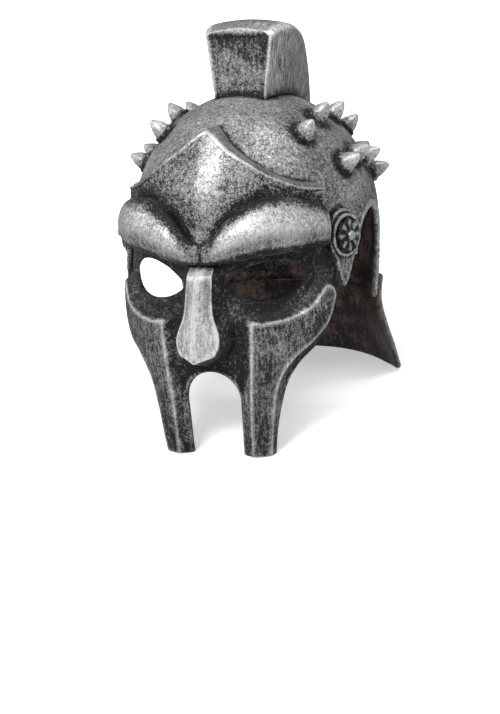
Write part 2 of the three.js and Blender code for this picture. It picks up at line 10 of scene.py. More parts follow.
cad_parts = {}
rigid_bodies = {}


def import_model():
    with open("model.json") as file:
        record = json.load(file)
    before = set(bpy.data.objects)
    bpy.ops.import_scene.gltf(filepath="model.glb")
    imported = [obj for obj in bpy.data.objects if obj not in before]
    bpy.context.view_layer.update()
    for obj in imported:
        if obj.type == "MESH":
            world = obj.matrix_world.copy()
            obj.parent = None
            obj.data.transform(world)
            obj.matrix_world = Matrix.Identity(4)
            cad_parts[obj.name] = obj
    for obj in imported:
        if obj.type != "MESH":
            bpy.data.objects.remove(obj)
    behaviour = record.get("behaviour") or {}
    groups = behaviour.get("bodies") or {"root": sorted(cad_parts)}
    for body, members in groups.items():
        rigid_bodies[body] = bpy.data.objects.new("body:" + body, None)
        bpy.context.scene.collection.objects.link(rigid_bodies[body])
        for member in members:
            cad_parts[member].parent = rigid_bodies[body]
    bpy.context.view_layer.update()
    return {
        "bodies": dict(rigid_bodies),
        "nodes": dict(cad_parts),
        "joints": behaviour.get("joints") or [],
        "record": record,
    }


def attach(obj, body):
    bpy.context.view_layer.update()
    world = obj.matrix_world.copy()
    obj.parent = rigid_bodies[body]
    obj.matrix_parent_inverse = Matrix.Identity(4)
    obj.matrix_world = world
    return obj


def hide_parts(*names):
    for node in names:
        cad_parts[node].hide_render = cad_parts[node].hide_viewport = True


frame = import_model()

# The helmet is drawn as it is worn, in millimetres above the tips of the cheek guards with the face
# towards -Y, and then leant back and set down on the floor
wall = 3.0
seatGap = 0.4
discScale = 90.0  # of the flat disc that the bowl is cut from, for each radian down the shell
bowl = {"brow": 140.0, "width": 79.0, "front": 97.0, "back": 98.0, "rise": 85.0}
sections = {  # shares of the bowl's width and depths by height up to the brow
    "up": [-0.1, 0, 0.25, 0.5, 0.75, 1],
    "width": [0.7, 0.76, 0.85, 0.94, 0.988, 1],
    "front": [0.89, 0.905, 0.94, 0.975, 0.997, 1],
    "back": [0.8, 0.82, 0.85, 0.9, 0.965, 1],
    "squareness": [2.6, 2.6, 2.6, 2.5, 2.25, 2],
}
stand = {
    "lean": 0.15298,
    "shift": (0, -4.6469, -13.377),
    "frontReach": 87.785,  # from the middle to where the floor cuts the level of the tips
}
reach = 100.0  # of the face, round the shell
pieces = []


def curve(xs, ys, at):
    # through every point of a short table, with Catmull-Rom slopes
    xs, ys = np.asarray(xs, float), np.asarray(ys, float)
    if xs[0] > xs[-1]:
        xs, ys = xs[::-1], ys[::-1]
    last = len(xs) - 1
    low, high = np.maximum(np.arange(last + 1) - 1, 0), np.minimum(np.arange(last + 1) + 1, last)
    slopes = (ys[high] - ys[low]) / (xs[high] - xs[low])
    i = np.clip(np.searchsorted(xs, at, side="right") - 1, 0, last - 1)
    span = xs[i + 1] - xs[i]
    t = np.clip((at - xs[i]) / span, 0, 1)
    a, b, step = slopes[i] * span, slopes[i + 1] * span, ys[i + 1] - ys[i]
    return ys[i] + t * (a + t * (3 * step - 2 * a - b + t * (a + b - 2 * step)))


def readTable(table, key, at):
    # every other row of a table, read at places along its key row
    return {name: curve(table[key], row, at) for name, row in table.items() if name != key}


def smooth(x, low, high):
    t = np.clip((x - low) / (high - low), 0, 1)
    return t * t * (3 - 2 * t)


def band(x, rise, fall):
    # 1 between the two ranges, eased to 0 over each
    return smooth(x, *rise) * (1 - smooth(x, *fall))


def softLine(x, width):
    return np.exp(-((x / width) ** 2))


def liftAt(height):
    rise = (np.asarray(height, float) - bowl["brow"]) / bowl["rise"]
    return np.where(rise > 0, np.arcsin(np.clip(rise, -1, 1)), rise)


def shellPoint(turn, lift, out):
    # turn is the angle round from the front, lift the angle up from the brow, out the distance off
    turn, lift, out = np.broadcast_arrays(*(np.asarray(v, float) for v in (turn, lift, out)))
    sin, cos = np.sin(turn), np.cos(turn)
    below = lift < 0
    up = np.where(below, 1 + bowl["rise"] * lift / bowl["brow"], 1.0)
    height = bowl["brow"] + bowl["rise"] * np.where(below, lift, np.sin(lift))
    shrink = np.where(below, 1.0, np.cos(lift))
    share = readTable(sections, "up", up)
    width = bowl["width"] * share["width"]
    depth = np.where(cos > 0, bowl["front"] * share["front"], bowl["back"] * share["back"])
    power = np.where(cos > 0, share["squareness"], 2.0)
    across, along = np.abs(sin) / width, np.abs(cos) / depth
    radius = (across**power + along**power) ** (-1 / power)
    normal = np.stack(
        [
            np.sign(sin) * (across * radius) ** (power - 1) * shrink / width,
            -np.sign(cos) * (along * radius) ** (power - 1) * shrink / depth,
            np.where(below, 0.0, np.sin(lift) / bowl["rise"]),
        ],
        -1,
    )
    normal /= np.linalg.norm(normal, axis=-1, keepdims=True)
    point = np.stack([radius * sin * shrink, -radius * cos * shrink, height], -1)
    return point + normal * out[..., None]


def facePoint(across, height, out):
    # the face from a flat outline: across is run round the shell from the middle
    return shellPoint(np.asarray(across) / bowl["front"], liftAt(height), out)


def crownPoint(p, q, out):
    # the whole bowl from a flat disc: the distance from its middle runs down over the shell
    run = np.hypot(p, q)
    return shellPoint(np.arctan2(p, -np.asarray(q)), math.pi / 2 - run / discScale, out)


def crownFlat(turn, height):
    run = (math.pi / 2 - liftAt(height)) * discScale
    return np.stack([run * np.sin(turn), -run * np.cos(turn)], -1)


def toFloor(points):
    c, s = math.cos(stand["lean"]), math.sin(stand["lean"])
    x, y, z = points[..., 0], points[..., 1], points[..., 2]
    dx, dy, dz = stand["shift"]
    return np.stack([x + dx, y * c + z * s + dy, np.maximum(z * c - y * s + dz, 0)], -1) / 1000


def uneven(points, size, seed):
    # the slight waviness of a moulded skin, in millimetres
    rng = np.random.default_rng(seed)
    total = np.zeros(points.shape[:-1])
    for k in range(7):
        way = rng.normal(size=3)
        way *= (0.6 + 0.25 * k) / np.linalg.norm(way) * 2 * math.pi / size
        total += np.sin(points @ way + rng.uniform(0, 7)) / (1 + 0.5 * k)
    return total / 3


# Flat outlines
def resample(points, spacing, closed):
    points = np.asarray(points, float)
    if closed:
        points = np.vstack([points, points[:1]])
    run = np.concatenate([[0], np.cumsum(np.linalg.norm(np.diff(points, axis=0), axis=1))])
    count = max(int(round(run[-1] / spacing)), 2)
    at = np.linspace(0, run[-1], count + 1)
    even = np.stack([np.interp(at, run, points[:, k]) for k in range(2)], 1)
    return even[:-1] if closed else even


def through(points, count=12, closed=False):
    # a smooth line through a few points
    points = np.asarray(points, float)
    n = len(points)
    at = np.arange(n if closed else n - 1)
    around = (lambda i: points[i % n]) if closed else (lambda i: points[np.clip(i, 0, n - 1)])
    a, b, c, d = around(at - 1), around(at), around(at + 1), around(at + 2)
    t = (np.arange(count) / count)[None, :, None]
    a, b, c, d = (v[:, None, :] for v in (a, b, c, d))
    line = 2 * b + (c - a) * t + (2 * a - 5 * b + 4 * c - d) * t**2
    line = 0.5 * (line + (3 * b - a - 3 * c + d) * t**3).reshape(-1, 2)
    return line if closed else np.vstack([line, points[-1:]])


def inside(points, loop):
    hit = np.zeros(len(points), bool)
    x, y = points[:, 0], points[:, 1]
    for (x0, y0), (x1, y1) in zip(loop, np.roll(loop, -1, axis=0)):
        if y0 != y1:
            hit ^= ((y0 > y) != (y1 > y)) & (x < x0 + (y - y0) / (y1 - y0) * (x1 - x0))
    return hit


def distance(points, line, closed=True):
    best = np.full(len(points), 1e9)
    ends = np.roll(line, -1, axis=0) if closed else line[1:]
    for a, b in zip(line, ends):
        side = b - a
        t = np.clip((points - a) @ side / max(side @ side, 1e-12), 0, 1)
        best = np.minimum(best, np.linalg.norm(points - a - t[:, None] * side, axis=1))
    return best


def area(loop):
    after = np.roll(loop, -1, axis=0)
    return 0.5 * float(np.sum(loop[:, 0] * after[:, 1] - loop[:, 1] * after[:, 0]))


def inset(loop, by):
    way = np.roll(loop, -1, axis=0) - np.roll(loop, 1, axis=0)
    way /= np.linalg.norm(way, axis=1, keepdims=True)
    return loop + by * np.stack([-way[:, 1], way[:, 0]], 1)


def flatMesh(outline, holes, creases, spacing, rim):
    # even triangles between the outline and the holes, with edges along the creases
    loops = []
    for k, loop in enumerate([outline, *holes]):
        even = resample(loop, spacing * 0.8, True)
        loops.append(even if (area(even) > 0) == (k == 0) else even[::-1])
    points, edges = [], []

    def add(line, closed):
        start, n = len(points), len(line)
        points.extend(line)
        edges.extend((start + i, start + (i + 1) % n) for i in range(n if closed else n - 1))

    for loop in loops:
        for by in (0, 0.3 * rim, rim):  # rings for the rounded edge
            add(inset(loop, by), True)

    def clear(at, gap):
        keep = inside(at, loops[0])
        for loop in loops[1:]:
            keep &= ~inside(at, loop)
        for loop in loops:
            keep &= distance(at, loop) > gap
        return keep

    kept = []
    for line, closed in creases:
        even = resample(line, spacing * 0.7, closed)
        good = clear(even, rim * 1.3)
        ends = np.roll(np.arange(len(even)), -1)
        for i, j in enumerate(ends if closed else ends[:-1]):
            if good[i] and good[j]:
                add(even[[i, j]], False)
        kept.append(even)
    low, high = loops[0].min(0), loops[0].max(0)
    xs = np.arange(low[0], high[0], spacing)
    ys = np.arange(low[1], high[1], spacing * 0.866)
    grid = np.array([(x + (k % 2) * spacing / 2, y) for k, y in enumerate(ys) for x in xs])
    grid = grid[clear(grid, rim + 0.45 * spacing)]
    for even in kept:
        grid = grid[distance(grid, even, False) > 0.45 * spacing]
    points.extend(grid)
    done = delaunay_2d_cdt([Vector(p) for p in points], edges, [], 0, 1e-4)
    flat = np.array([tuple(v) for v in done[0]])
    faces = np.array(done[2])
    middles = flat[faces].mean(1)
    keep = inside(middles, loops[0])
    for loop in loops[1:]:
        keep &= ~inside(middles, loop)
    faces = faces[keep]
    used, faces = np.unique(faces, return_inverse=True)
    flat, faces = flat[used], faces.reshape(-1, 3)
    rimGap = np.min([distance(flat, loop) for loop in loops], axis=0)
    return flat, faces, rimGap


def cutSheet(outline, holes, creases, spacing, place, rise, rim=0.8, thick=wall, brush=None, tone=None):
    # a wall cut to a flat outline and laid on the shell, with a rounded edge
    flat, faces, gap = flatMesh(outline, holes, creases, spacing, rim)
    u, v = flat[:, 0], flat[:, 1]
    off = rise(u, v, gap)
    shade = np.zeros(len(flat)) if tone is None else tone(u, v, gap)
    drop = rim - np.sqrt(np.maximum(rim**2 - np.clip(rim - gap, 0, rim) ** 2, 0))
    outer, inner = place(u, v, off - drop), place(u, v, off - thick + drop)
    n = len(flat)
    directed = np.concatenate([faces[:, [0, 1]], faces[:, [1, 2]], faces[:, [2, 0]]])
    have = {tuple(e) for e in directed}
    side = [(b, a, a + n, b + n) for a, b in have if (b, a) not in have]
    every = [tuple(f) for f in faces] + [(a + n, c + n, b + n) for a, b, c in faces] + side
    strokes = flat if brush is None else brush(u, v)
    return {
        "points": toFloor(np.concatenate([outer, inner])),
        "faces": every,
        "inner": np.repeat([0.0, 1.0], n),
        "strokes": np.concatenate([strokes, strokes]),
        "tone": np.concatenate([shade, 0 * shade]),
    }


def gridFaces(rows, columns, start=0, flip=False):
    r, c = np.meshgrid(np.arange(rows - 1), np.arange(columns - 1), indexing="ij")
    a = (start + r * columns + c).ravel()
    quads = np.stack([a, a + 1, a + columns + 1, a + columns], 1)
    return [tuple(q) for q in (quads[:, ::-1] if flip else quads)]


def gridSheet(outer, inner, strokes, tone, calm=0.0):
    # a wall between two grids of points, closed along its four sides
    rows, columns = outer.shape[:2]
    n = rows * columns
    at = np.arange(n).reshape(rows, columns)
    ring = np.concatenate([at[0, :-1], at[:-1, -1], at[-1, :0:-1], at[:0:-1, 0]])
    side = [(b, a, a + n, b + n) for a, b in zip(ring, np.roll(ring, -1))]
    points = np.concatenate([outer.reshape(-1, 3), inner.reshape(-1, 3)])
    tone, calm = (np.broadcast_to(v, (rows, columns)).ravel() for v in (tone, calm))
    return {
        "points": toFloor(points),
        "faces": gridFaces(rows, columns) + gridFaces(rows, columns, n, True) + side,
        "inner": np.repeat([0.0, 1.0], n),
        "strokes": np.tile(strokes.reshape(-1, 2), (2, 1)),
        "tone": np.concatenate([tone, 0 * tone]),
        "calm": np.concatenate([calm, calm]),
    }


def lathe(profile, seat, normal, around=28, shape=None):
    # a turned form standing on a seat; shape(radius, turn, height) may lift its points
    profile = np.asarray(profile, float)
    turns = np.arange(around) / around * 2 * math.pi
    radius, turn = np.meshgrid(profile[:, 0], turns, indexing="ij")
    height = np.repeat(profile[:, 1:2], around, 1)
    if shape:
        radius, height = shape(radius, turn, height)
    normal = normal / np.linalg.norm(normal)
    side = np.cross([0.0, 0.0, 1.0], normal)
    side /= np.linalg.norm(side)
    up = np.cross(normal, side)
    local = radius * np.cos(turn), radius * np.sin(turn), height
    points = seat + sum(v[..., None] * axis for v, axis in zip(local, (side, up, normal)))
    rows = len(profile)
    faces = []
    for r in range(rows - 1):
        for c in range(around):
            d = (c + 1) % around
            faces.append((r * around + c, r * around + d, (r + 1) * around + d, (r + 1) * around + c))
    faces.append(tuple(range(around))[::-1])
    faces.append(tuple((rows - 1) * around + c for c in range(around)))
    strokes = np.stack([turn * 6, height], -1)
    return {
        "points": toFloor(points.reshape(-1, 3)),
        "faces": faces,
        "inner": np.zeros(rows * around),
        "strokes": strokes.reshape(-1, 2),
    }


def outward(points, faces):
    # the same faces, all wound so that they face out
    mesh = bmesh.new()
    corners = [mesh.verts.new(p) for p in points]
    for face in faces:
        mesh.faces.new([corners[i] for i in face])
    mesh.verts.index_update()
    bmesh.ops.recalc_face_normals(mesh, faces=mesh.faces[:])
    wound = [tuple(v.index for v in face.verts) for face in mesh.faces]
    mesh.free()
    return wound


def addPiece(name, parts, slot, look, sharp=38, soften=14):
    # sharp is the angle from which edges stay sharp, soften the steps over which ridges are felt
    piece = {"name": name, "slot": slot, "look": look, "sharp": sharp, "soften": soften, "faces": []}
    start = 0
    for part in parts:
        for mark in ("tone", "calm"):
            part.setdefault(mark, np.zeros(len(part["points"])))
        wound = outward(part["points"], part["faces"])
        piece["faces"] += [tuple(int(i) + start for i in f) for f in wound]
        start += len(part["points"])
    for label in ("points", "inner", "strokes", "tone", "calm"):
        piece[label] = np.concatenate([part[label] for part in parts])
    pieces.append(piece)


# Face guard: outlines in shares of the face's reach across and of the brow's height
face = {
    "noseHalf": 12.5,
    "noseProud": 27.0,
    "noseTip": 69.0,
    "noseTop": 125.4,
    "noseShoulder": 1.5,
    "noseFlank": 6.0,
    "tipSide": 1.5,
    "tipDrop": 3.5,
    "cheekProud": 6.0,
    "cheekBevel": 6.5,
    "mouthHalf": 19.5,
    "mouthTop": 56.0,
    "spacing": 1.6,
    "nose": {
        "along": [0, 0.1, 0.24, 0.5, 1],
        "half": [0.7, 0.95, 1, 0.68, 0.6],
        "edge": [0.78, 0.72, 0.64, 0.5, 0.26],
        "ridge": [1, 1, 0.97, 0.78, 0.42],
    },
    "edge": [
        *((0.86, 1.046), (0.925, 0.985), (1, 0.95), (1, 0.87), (0.965, 0.74), (0.89, 0.61)),
        *((0.77, 0.51), (0.62, 0.435), (0.53, 0.35), (0.48, 0.24), (0.435, 0.1), (0.423, 0.004)),
    ],
    "field": [
        *((0.295, 0.632), (0.38, 0.632), (0.52, 0.648), (0.68, 0.69), (0.8, 0.765), (0.87, 0.73)),
        *((0.81, 0.62), (0.69, 0.54), (0.55, 0.47), (0.45, 0.37), (0.405, 0.22), (0.36, -0.06)),
        *((0.27, -0.06), (0.268, 0.2), (0.282, 0.42), (0.291, 0.6)),
    ],
    "eyeCorners": [(0.135, 0.8), (0.72, 0.835)],
    "eyeLids": {
        "along": [0, 0.08, 0.25, 0.5, 0.75, 0.92, 1],
        "upper": [0, 0.034, 0.074, 0.088, 0.068, 0.032, 0],
        "lower": [0, -0.03, -0.066, -0.086, -0.074, -0.036, 0],
    },
}
guardScale = np.array([reach, bowl["brow"]])


def eyeLoop(side):
    t = (1 - np.cos(np.linspace(0, math.pi, 30))) / 2
    (x0, z0), (x1, z1) = face["eyeCorners"]
    lids = readTable(face["eyeLids"], "along", t)
    middle = np.stack([x0 + (x1 - x0) * t, z0 + (z1 - z0) * t], 1)
    lower, upper = (middle + np.stack([0 * t, lids[k]], 1) for k in ("lower", "upper"))
    return np.vstack([lower, upper[-2:0:-1]]) * guardScale * [side, 1]


def noseAt(height):
    along = (height - face["noseTip"]) / (face["noseTop"] - face["noseTip"])
    at = readTable(face["nose"], "along", along)
    return at["half"] * face["noseHalf"], at["edge"] * face["noseProud"], at["ridge"] * face["noseProud"]


def noseEnd(share):
    # the tip comes to a shallow point
    return face["noseTip"] + face["tipSide"] - face["tipDrop"] * (1 - share)


def noseRise(u, v):
    half, edge, ridge = noseAt(v)
    share = np.minimum(np.abs(u) / half, 1)
    below = np.maximum(noseEnd(share) - v, 0)
    beyond = np.hypot(np.maximum(np.abs(u) - half, 0), below)
    blade = ridge + (edge - ridge) * share - 0.4 * np.sin(share * math.pi) ** 2
    left = face["noseTop"] - v  # the blade leans back to the brow's lip
    top = (0.42 + 0.58 * smooth(left, 0, 7)) * np.clip(left / 0.6, 0, 1)
    return top * np.maximum(blade - edge / face["noseFlank"] * beyond, 0)


def guardLoop():
    # half of the edge from the middle of the brow down to the tip and up to the mouth's arch
    rear = through(face["edge"][2:], 10) * guardScale
    half = np.vstack([[[0, face["edge"][0][1]]], face["edge"][:2]]) * guardScale
    m, top = face["mouthHalf"], face["mouthTop"]
    arch = [(m * math.cos(t), top - m + m * math.sin(t)) for t in np.linspace(0, math.pi / 2, 14)]
    half = np.vstack([half, rear, [[m, 0.6]], arch])
    return np.vstack([half, (half[1:-1] * [-1, 1])[::-1]])


def buildFaceGuard():
    outline, eyes = guardLoop(), [eyeLoop(1), eyeLoop(-1)]
    fields = [through(np.array(face["field"]) * guardScale * [side, 1], 8, True) for side in (1, -1)]
    heights = np.linspace(face["noseTip"], face["noseTop"] - face["noseShoulder"], 40)
    half = noseAt(heights)[0]
    tip, flank = face["noseTip"], face["noseFlank"]
    base = noseAt(np.array([tip]))[0][0]
    creases = [(np.stack([0 * heights, heights], 1), False)]
    for side in (1, -1):
        for grow in (0, 0.6, flank):
            creases.append((np.stack([side * (half + grow), heights], 1), False))
    share = np.linspace(-1, 1, 9)
    for low in (0, flank):
        creases.append((np.stack([share * base, noseEnd(np.abs(share)) - low], 1), False))
    for loop in fields:
        outwards = -math.copysign(face["cheekBevel"], area(loop))
        creases += [(loop, True), (inset(loop, outwards), True)]

    def fieldAt(flat):
        # how far up the raised field's bevel, and the distance inside its edge
        best, depth = np.zeros(len(flat)), np.zeros(len(flat))
        for loop in fields:
            away, within = distance(flat, loop), inside(flat, loop)
            best = np.maximum(best, np.where(within, 1.0, np.clip(1 - away / face["cheekBevel"], 0, 1)))
            depth = np.maximum(depth, np.where(within, away, 0))
        return best, depth

    def rise(u, v, gap):
        field, depth = fieldAt(np.stack([u, v], 1))
        raised = np.maximum(noseRise(u, v), face["cheekProud"] * field + 0.5 * (1 - np.exp(-depth / 4)))
        bead = 0.7 * band(gap, (0.2, 1.2), (1.8, 3.0))
        return raised + bead * (raised < 1) + 0.25 * uneven(facePoint(u, v, 0), 26, 3)

    def tone(u, v, gap):
        # black paint and painted shade in the hollows round the eye openings and beside the nose guard,
        # silver on what stands proud
        flat = np.stack([u, v], 1)
        field, depth = fieldAt(flat)
        half = noseAt(v)[0]
        end = noseEnd(np.minimum(np.abs(u) / half, 1))
        beyond = np.hypot(np.maximum(np.abs(u) - half, 0), np.maximum(end - v, 0))
        onNose = (beyond < 0.35) & (v < face["noseTop"])
        beside = (1 - smooth(beyond, 7, 13)) * smooth(v, tip - 16, tip - 6) * (1 - field)
        low = 1 - smooth(field, 0.45, 1)
        eye = np.min([distance(flat, loop) for loop in eyes], axis=0)
        dark = 0.8 * low * (1 - smooth(eye, 7, 16)) + 0.8 * beside
        dark = np.maximum(dark, 0.5 * low * smooth(v, face["mouthTop"] - 6, face["mouthTop"] + 4))
        line = softLine(depth - 0.2, 0.7) * (field > 0.93)
        down = smooth(v, 10, 90)  # the plates are darker towards their tips
        edge = np.minimum(half - np.abs(u), v - end)
        nose = 0.6 - 0.34 * (1 - smooth(edge, 1.2, 4.2)) - 0.2 * (1 - smooth(np.abs(u), 0.4, 2.4))
        nose = nose + 0.34 * softLine(edge, 0.7) + 0.5 * smooth(v, face["noseTop"] - 9, face["noseTop"])
        return np.where(onNose, nose, 0.36 * line - dark - 0.12 * (1 - down))

    sheet = cutSheet(outline, eyes, creases, face["spacing"], facePoint, rise, tone=tone)
    addPiece("faceGuard", [sheet], "shell", "mask", sharp=32, soften=6)
    print("face guard", len(sheet["points"]))


# Bowl: the disc down to its edge line, which follows the face guard and arches over the ears
ear = {
    "centre": 6.0,
    "half": 28.0,
    "spring": 120.0,
    "temple": 121.0,
    "nape": 82.0,
    "spacing": 2.6,
    "guardLap": 0.5,  # closes the joint with the face guard, also at its corners
}


def turnAt(y, height):
    turns = np.linspace(0.3, math.pi - 0.2, 400)
    ys = shellPoint(turns, liftAt(height), 0)[:, 1]
    return float(np.interp(y, ys, turns))


def buildBowl():
    gap, e = -ear["guardLap"], ear
    rear = through(face["edge"][2:], 10) * guardScale + gap
    rear = rear[rear[:, 1] > e["temple"]]
    (end, top), corner = np.array(face["edge"][:2]) * guardScale + gap
    edge = [(x, top) for x in np.linspace(0, end, 30)] + [corner, *rear]
    line = [(x / bowl["front"], z) for x, z in edge]
    line += [(line[-1][0], e["temple"]), (turnAt(e["centre"] - e["half"], e["temple"]), e["temple"])]
    for t in np.linspace(math.pi, 0, 26):
        y, z = e["centre"] + e["half"] * math.cos(t), e["spring"] + e["half"] * math.sin(t)
        line.append((turnAt(y, z), z))
    line.append((turnAt(e["centre"] + e["half"], e["nape"]), e["nape"]))
    last = line[-1][0]
    line += [(last + (math.pi - last) * k / 12, e["nape"]) for k in range(1, 13)]
    line = np.array(line)
    half = crownFlat(line[:, 0], line[:, 1])
    outline = np.vstack([half, (half[1:-1] * [-1, 1])[::-1]])

    def rise(u, v, gap):
        at = crownPoint(u, v, 0)
        bead = 1.1 * band(gap, (0.2, 1.6), (3.6, 5.6))
        behind = smooth(at[:, 1], -30, -15)
        return 0.4 * uneven(at, 48, 5) * smooth(gap, 0, 8) + bead * behind

    def strokes(u, v):
        return np.stack([np.arctan2(u, -v) * 60, np.hypot(u, v)], 1)

    def tone(u, v, gap):
        # dark rings round the studs, black paint and painted shade, weaker on the far side; a little
        # lighter towards the top
        at = crownPoint(u, v, 0)
        ring = np.zeros(len(at))
        for side in (1, -1):
            for _, seat, _ in studSeats(side):
                away = np.linalg.norm(at - seat, axis=1)
                baseShade = 1 - smooth(away - stud["radius"], *stud["baseShade"])
                ring = np.maximum(ring, baseShade * (1 if side > 0 else 0.55))
        return 0.1 * smooth(at[:, 2], 150, 215) - 0.75 * ring

    sheet = cutSheet(outline, [], [], e["spacing"], crownPoint, rise, brush=strokes, tone=tone)
    addPiece("bowlShell", [sheet], "shell", "dome")
    print("bowl", len(sheet["points"]))


# Frontlet: it stands off the bowl along its ogee top edge, returns to the bowl behind it, and has a
# brow roll over each eye
front = {
    "peak": 198.0,
    "endTop": 168.0,
    "stand": 12.0,
    "gap": 1.8,
    "slope": 0.6,
    "proud": 13.0,
    "roll": 34.0,
    "endRound": 1.2,
    "table": {
        "turn": [0, 0.08, 0.2, 0.4, 0.6, 0.8, 1],
        "top": [1, 0.91, 0.7, 0.42, 0.2, 0.06, 0],
        "stand": [1, 0.96, 0.85, 0.6, 0.36, 0.2, 0.12],
        "lip": [0.9, 0.9, 0.91, 0.93, 0.94, 0.945, 0.95],
        "roll": [0.34, 0.48, 0.78, 1, 0.98, 0.88, 0.72],
        "proud": [0.1, 0.42, 0.86, 1, 0.96, 0.76, 0.4],
    },
}


def buildFrontlet():
    span = temple["across"] - temple["radius"] - front["gap"]
    across = np.linspace(-1, 1, 201)
    share = np.abs(across)
    at = readTable(front["table"], "turn", share)
    lip = at["lip"] * bowl["brow"]
    rollTop = lip + at["roll"] * front["roll"]
    top = front["endTop"] + (front["peak"] - front["endTop"]) * at["top"]
    standOff = at["stand"] * front["stand"]
    swell = at["proud"] * front["proud"]
    back = front["slope"] * standOff
    # rows from the lip: 0 to 1 over the roll, to 2 up the panel, to 3 down the return
    roll = (1 - np.cos(np.linspace(0, math.pi, 33))) / 2
    panel = 1 + np.append(np.linspace(0, 0.93, 36)[1:], [0.955, 0.975, 0.99, 1])
    behind = 2 + np.array([0.03, 0.07, 0.13, 0.25, 0.4, 0.55, 0.7, 0.85, 1])
    rows = np.concatenate([roll, panel, behind])[::-1, None]
    onRoll, onPanel, onBack = np.clip(rows, 0, 1), np.clip(rows - 1, 0, 1), np.clip(rows - 2, 0, 1)
    turn = np.broadcast_to(across * span / bowl["front"], (len(rows), len(across)))

    def skinAt(outer):
        # height and distance off the bowl, for the outer skin (1) or the inner one (0)
        edge = top - (1 - outer) * 0.3 * wall
        foot = top + back + outer * wall
        height = lip + (rollTop - lip) * onRoll + (edge - rollTop) * onPanel + (foot - edge) * onBack
        off = swell * np.sqrt(np.maximum(0, 1 - (2 * onRoll - 1) ** 2)) + standOff * onPanel
        return height, off * (1 - onBack) + outer * wall * (1 - onBack)

    height, off = skinAt(1)
    slant = 1 / np.hypot(1, np.gradient(top, across * span))
    fromTop = np.where(rows > 2, (rows - 2) * np.hypot(standOff + wall, back), (top - height) * slant)
    fromRoll = np.where(rows > 1, (height - rollTop) * slant, (1 - rows) * swell * 2)
    fromEnd = (1 - share) * span
    bead = 0.8 * band(fromTop, (0.4, 1.2), (2.0, 3.0)) * (rows <= 2)
    corner = 0.7 * softLine(fromTop, 0.8) * (rows > 1)
    inEnd = 1 - np.clip(fromEnd / front["endRound"], 0, 1)
    edge = front["endRound"] * (1 - np.sqrt(np.clip(1 - inEnd**2, 0, 1)))
    flat = shellPoint(turn, liftAt(height), 0)
    lump = 0.3 * uneven(flat, 28, 8) * (rows < 2)
    outer = shellPoint(turn, liftAt(height), seatGap + off + bead + lump - corner - edge * (1 - onBack))
    innerHeight, innerOff = skinAt(0)
    inner = shellPoint(turn, liftAt(innerHeight), seatGap + innerOff)
    strokes = np.stack([turn * bowl["front"], height], -1)
    # colour: black under the rolls and in the crease over them; painted highlights along the tops of the
    # rolls, brighter near the middle and on the wearer's left; on the panel a painted highlight stripe
    # just to the wearer's left of the middle, painted shade on the wearer's right side, and darker
    # towards the ends
    mm = across * span
    highlightStripe = band(mm, (-2.5, -0.5), (9, 17))
    crease = softLine(np.maximum(fromRoll, 0), 4.5) * smooth(share, 0.03, 0.1)
    # painted highlights along the roll tops, brighter near the middle and on the wearer's left roll
    crest = band(onRoll, (0.3, 0.5), (0.72, 0.93)) * smooth(share, 0.04, 0.2)
    near = 1 - smooth(np.abs(mm), 12, 60)
    plateLightAndShade = 0.14 * highlightStripe - 0.08 * (mm < -2) - 0.1 * smooth(np.abs(mm), 25, 70)
    tone = np.where(rows > 1, plateLightAndShade, (0.22 + 0.24 * near + 0.24 * (mm > 0)) * crest)
    tone = tone - 0.75 * crease - 0.9 * (1 - smooth(onRoll, 0.05, 0.22)) * (rows <= 1)
    line = softLine(fromTop - 0.8, 0.8) * (rows > 1)
    tone = np.where(rows > 2.02, -0.14, tone + 0.5 * line)
    streaky = 0.6 * (1 - smooth(onRoll, 0.42, 0.6)) * (rows <= 1)
    sheet = gridSheet(outer, inner, strokes, tone, np.where(rows > 2.02, 0.85, streaky))
    addPiece("frontletPlate", [sheet], "shell", "brow", sharp=42, soften=7)
    print("frontlet", len(sheet["points"]))


# Crest: a plain comb with a framed panel at its front
comb = {
    "rise": 48.0,
    "half": 18.0,
    "topHalf": 23.5,
    "camber": 2.0,
    "wall": 3.0,
    "frontRound": 0.7,
    "frontInset": 1.3,
    "table": {
        "around": [78, 82, 92, 104, 118, 131, 142, 151],  # degrees back from the brow
        "rise": [0.87, 0.9, 0.92, 0.82, 0.6, 0.4, 0.24, 0.1],
        "width": [1, 1.1, 1.26, 1.18, 0.96, 0.75, 0.6, 0.5],
        "lean": [11, 8, 0, 0, 0, 0, 0, 0],
    },
}


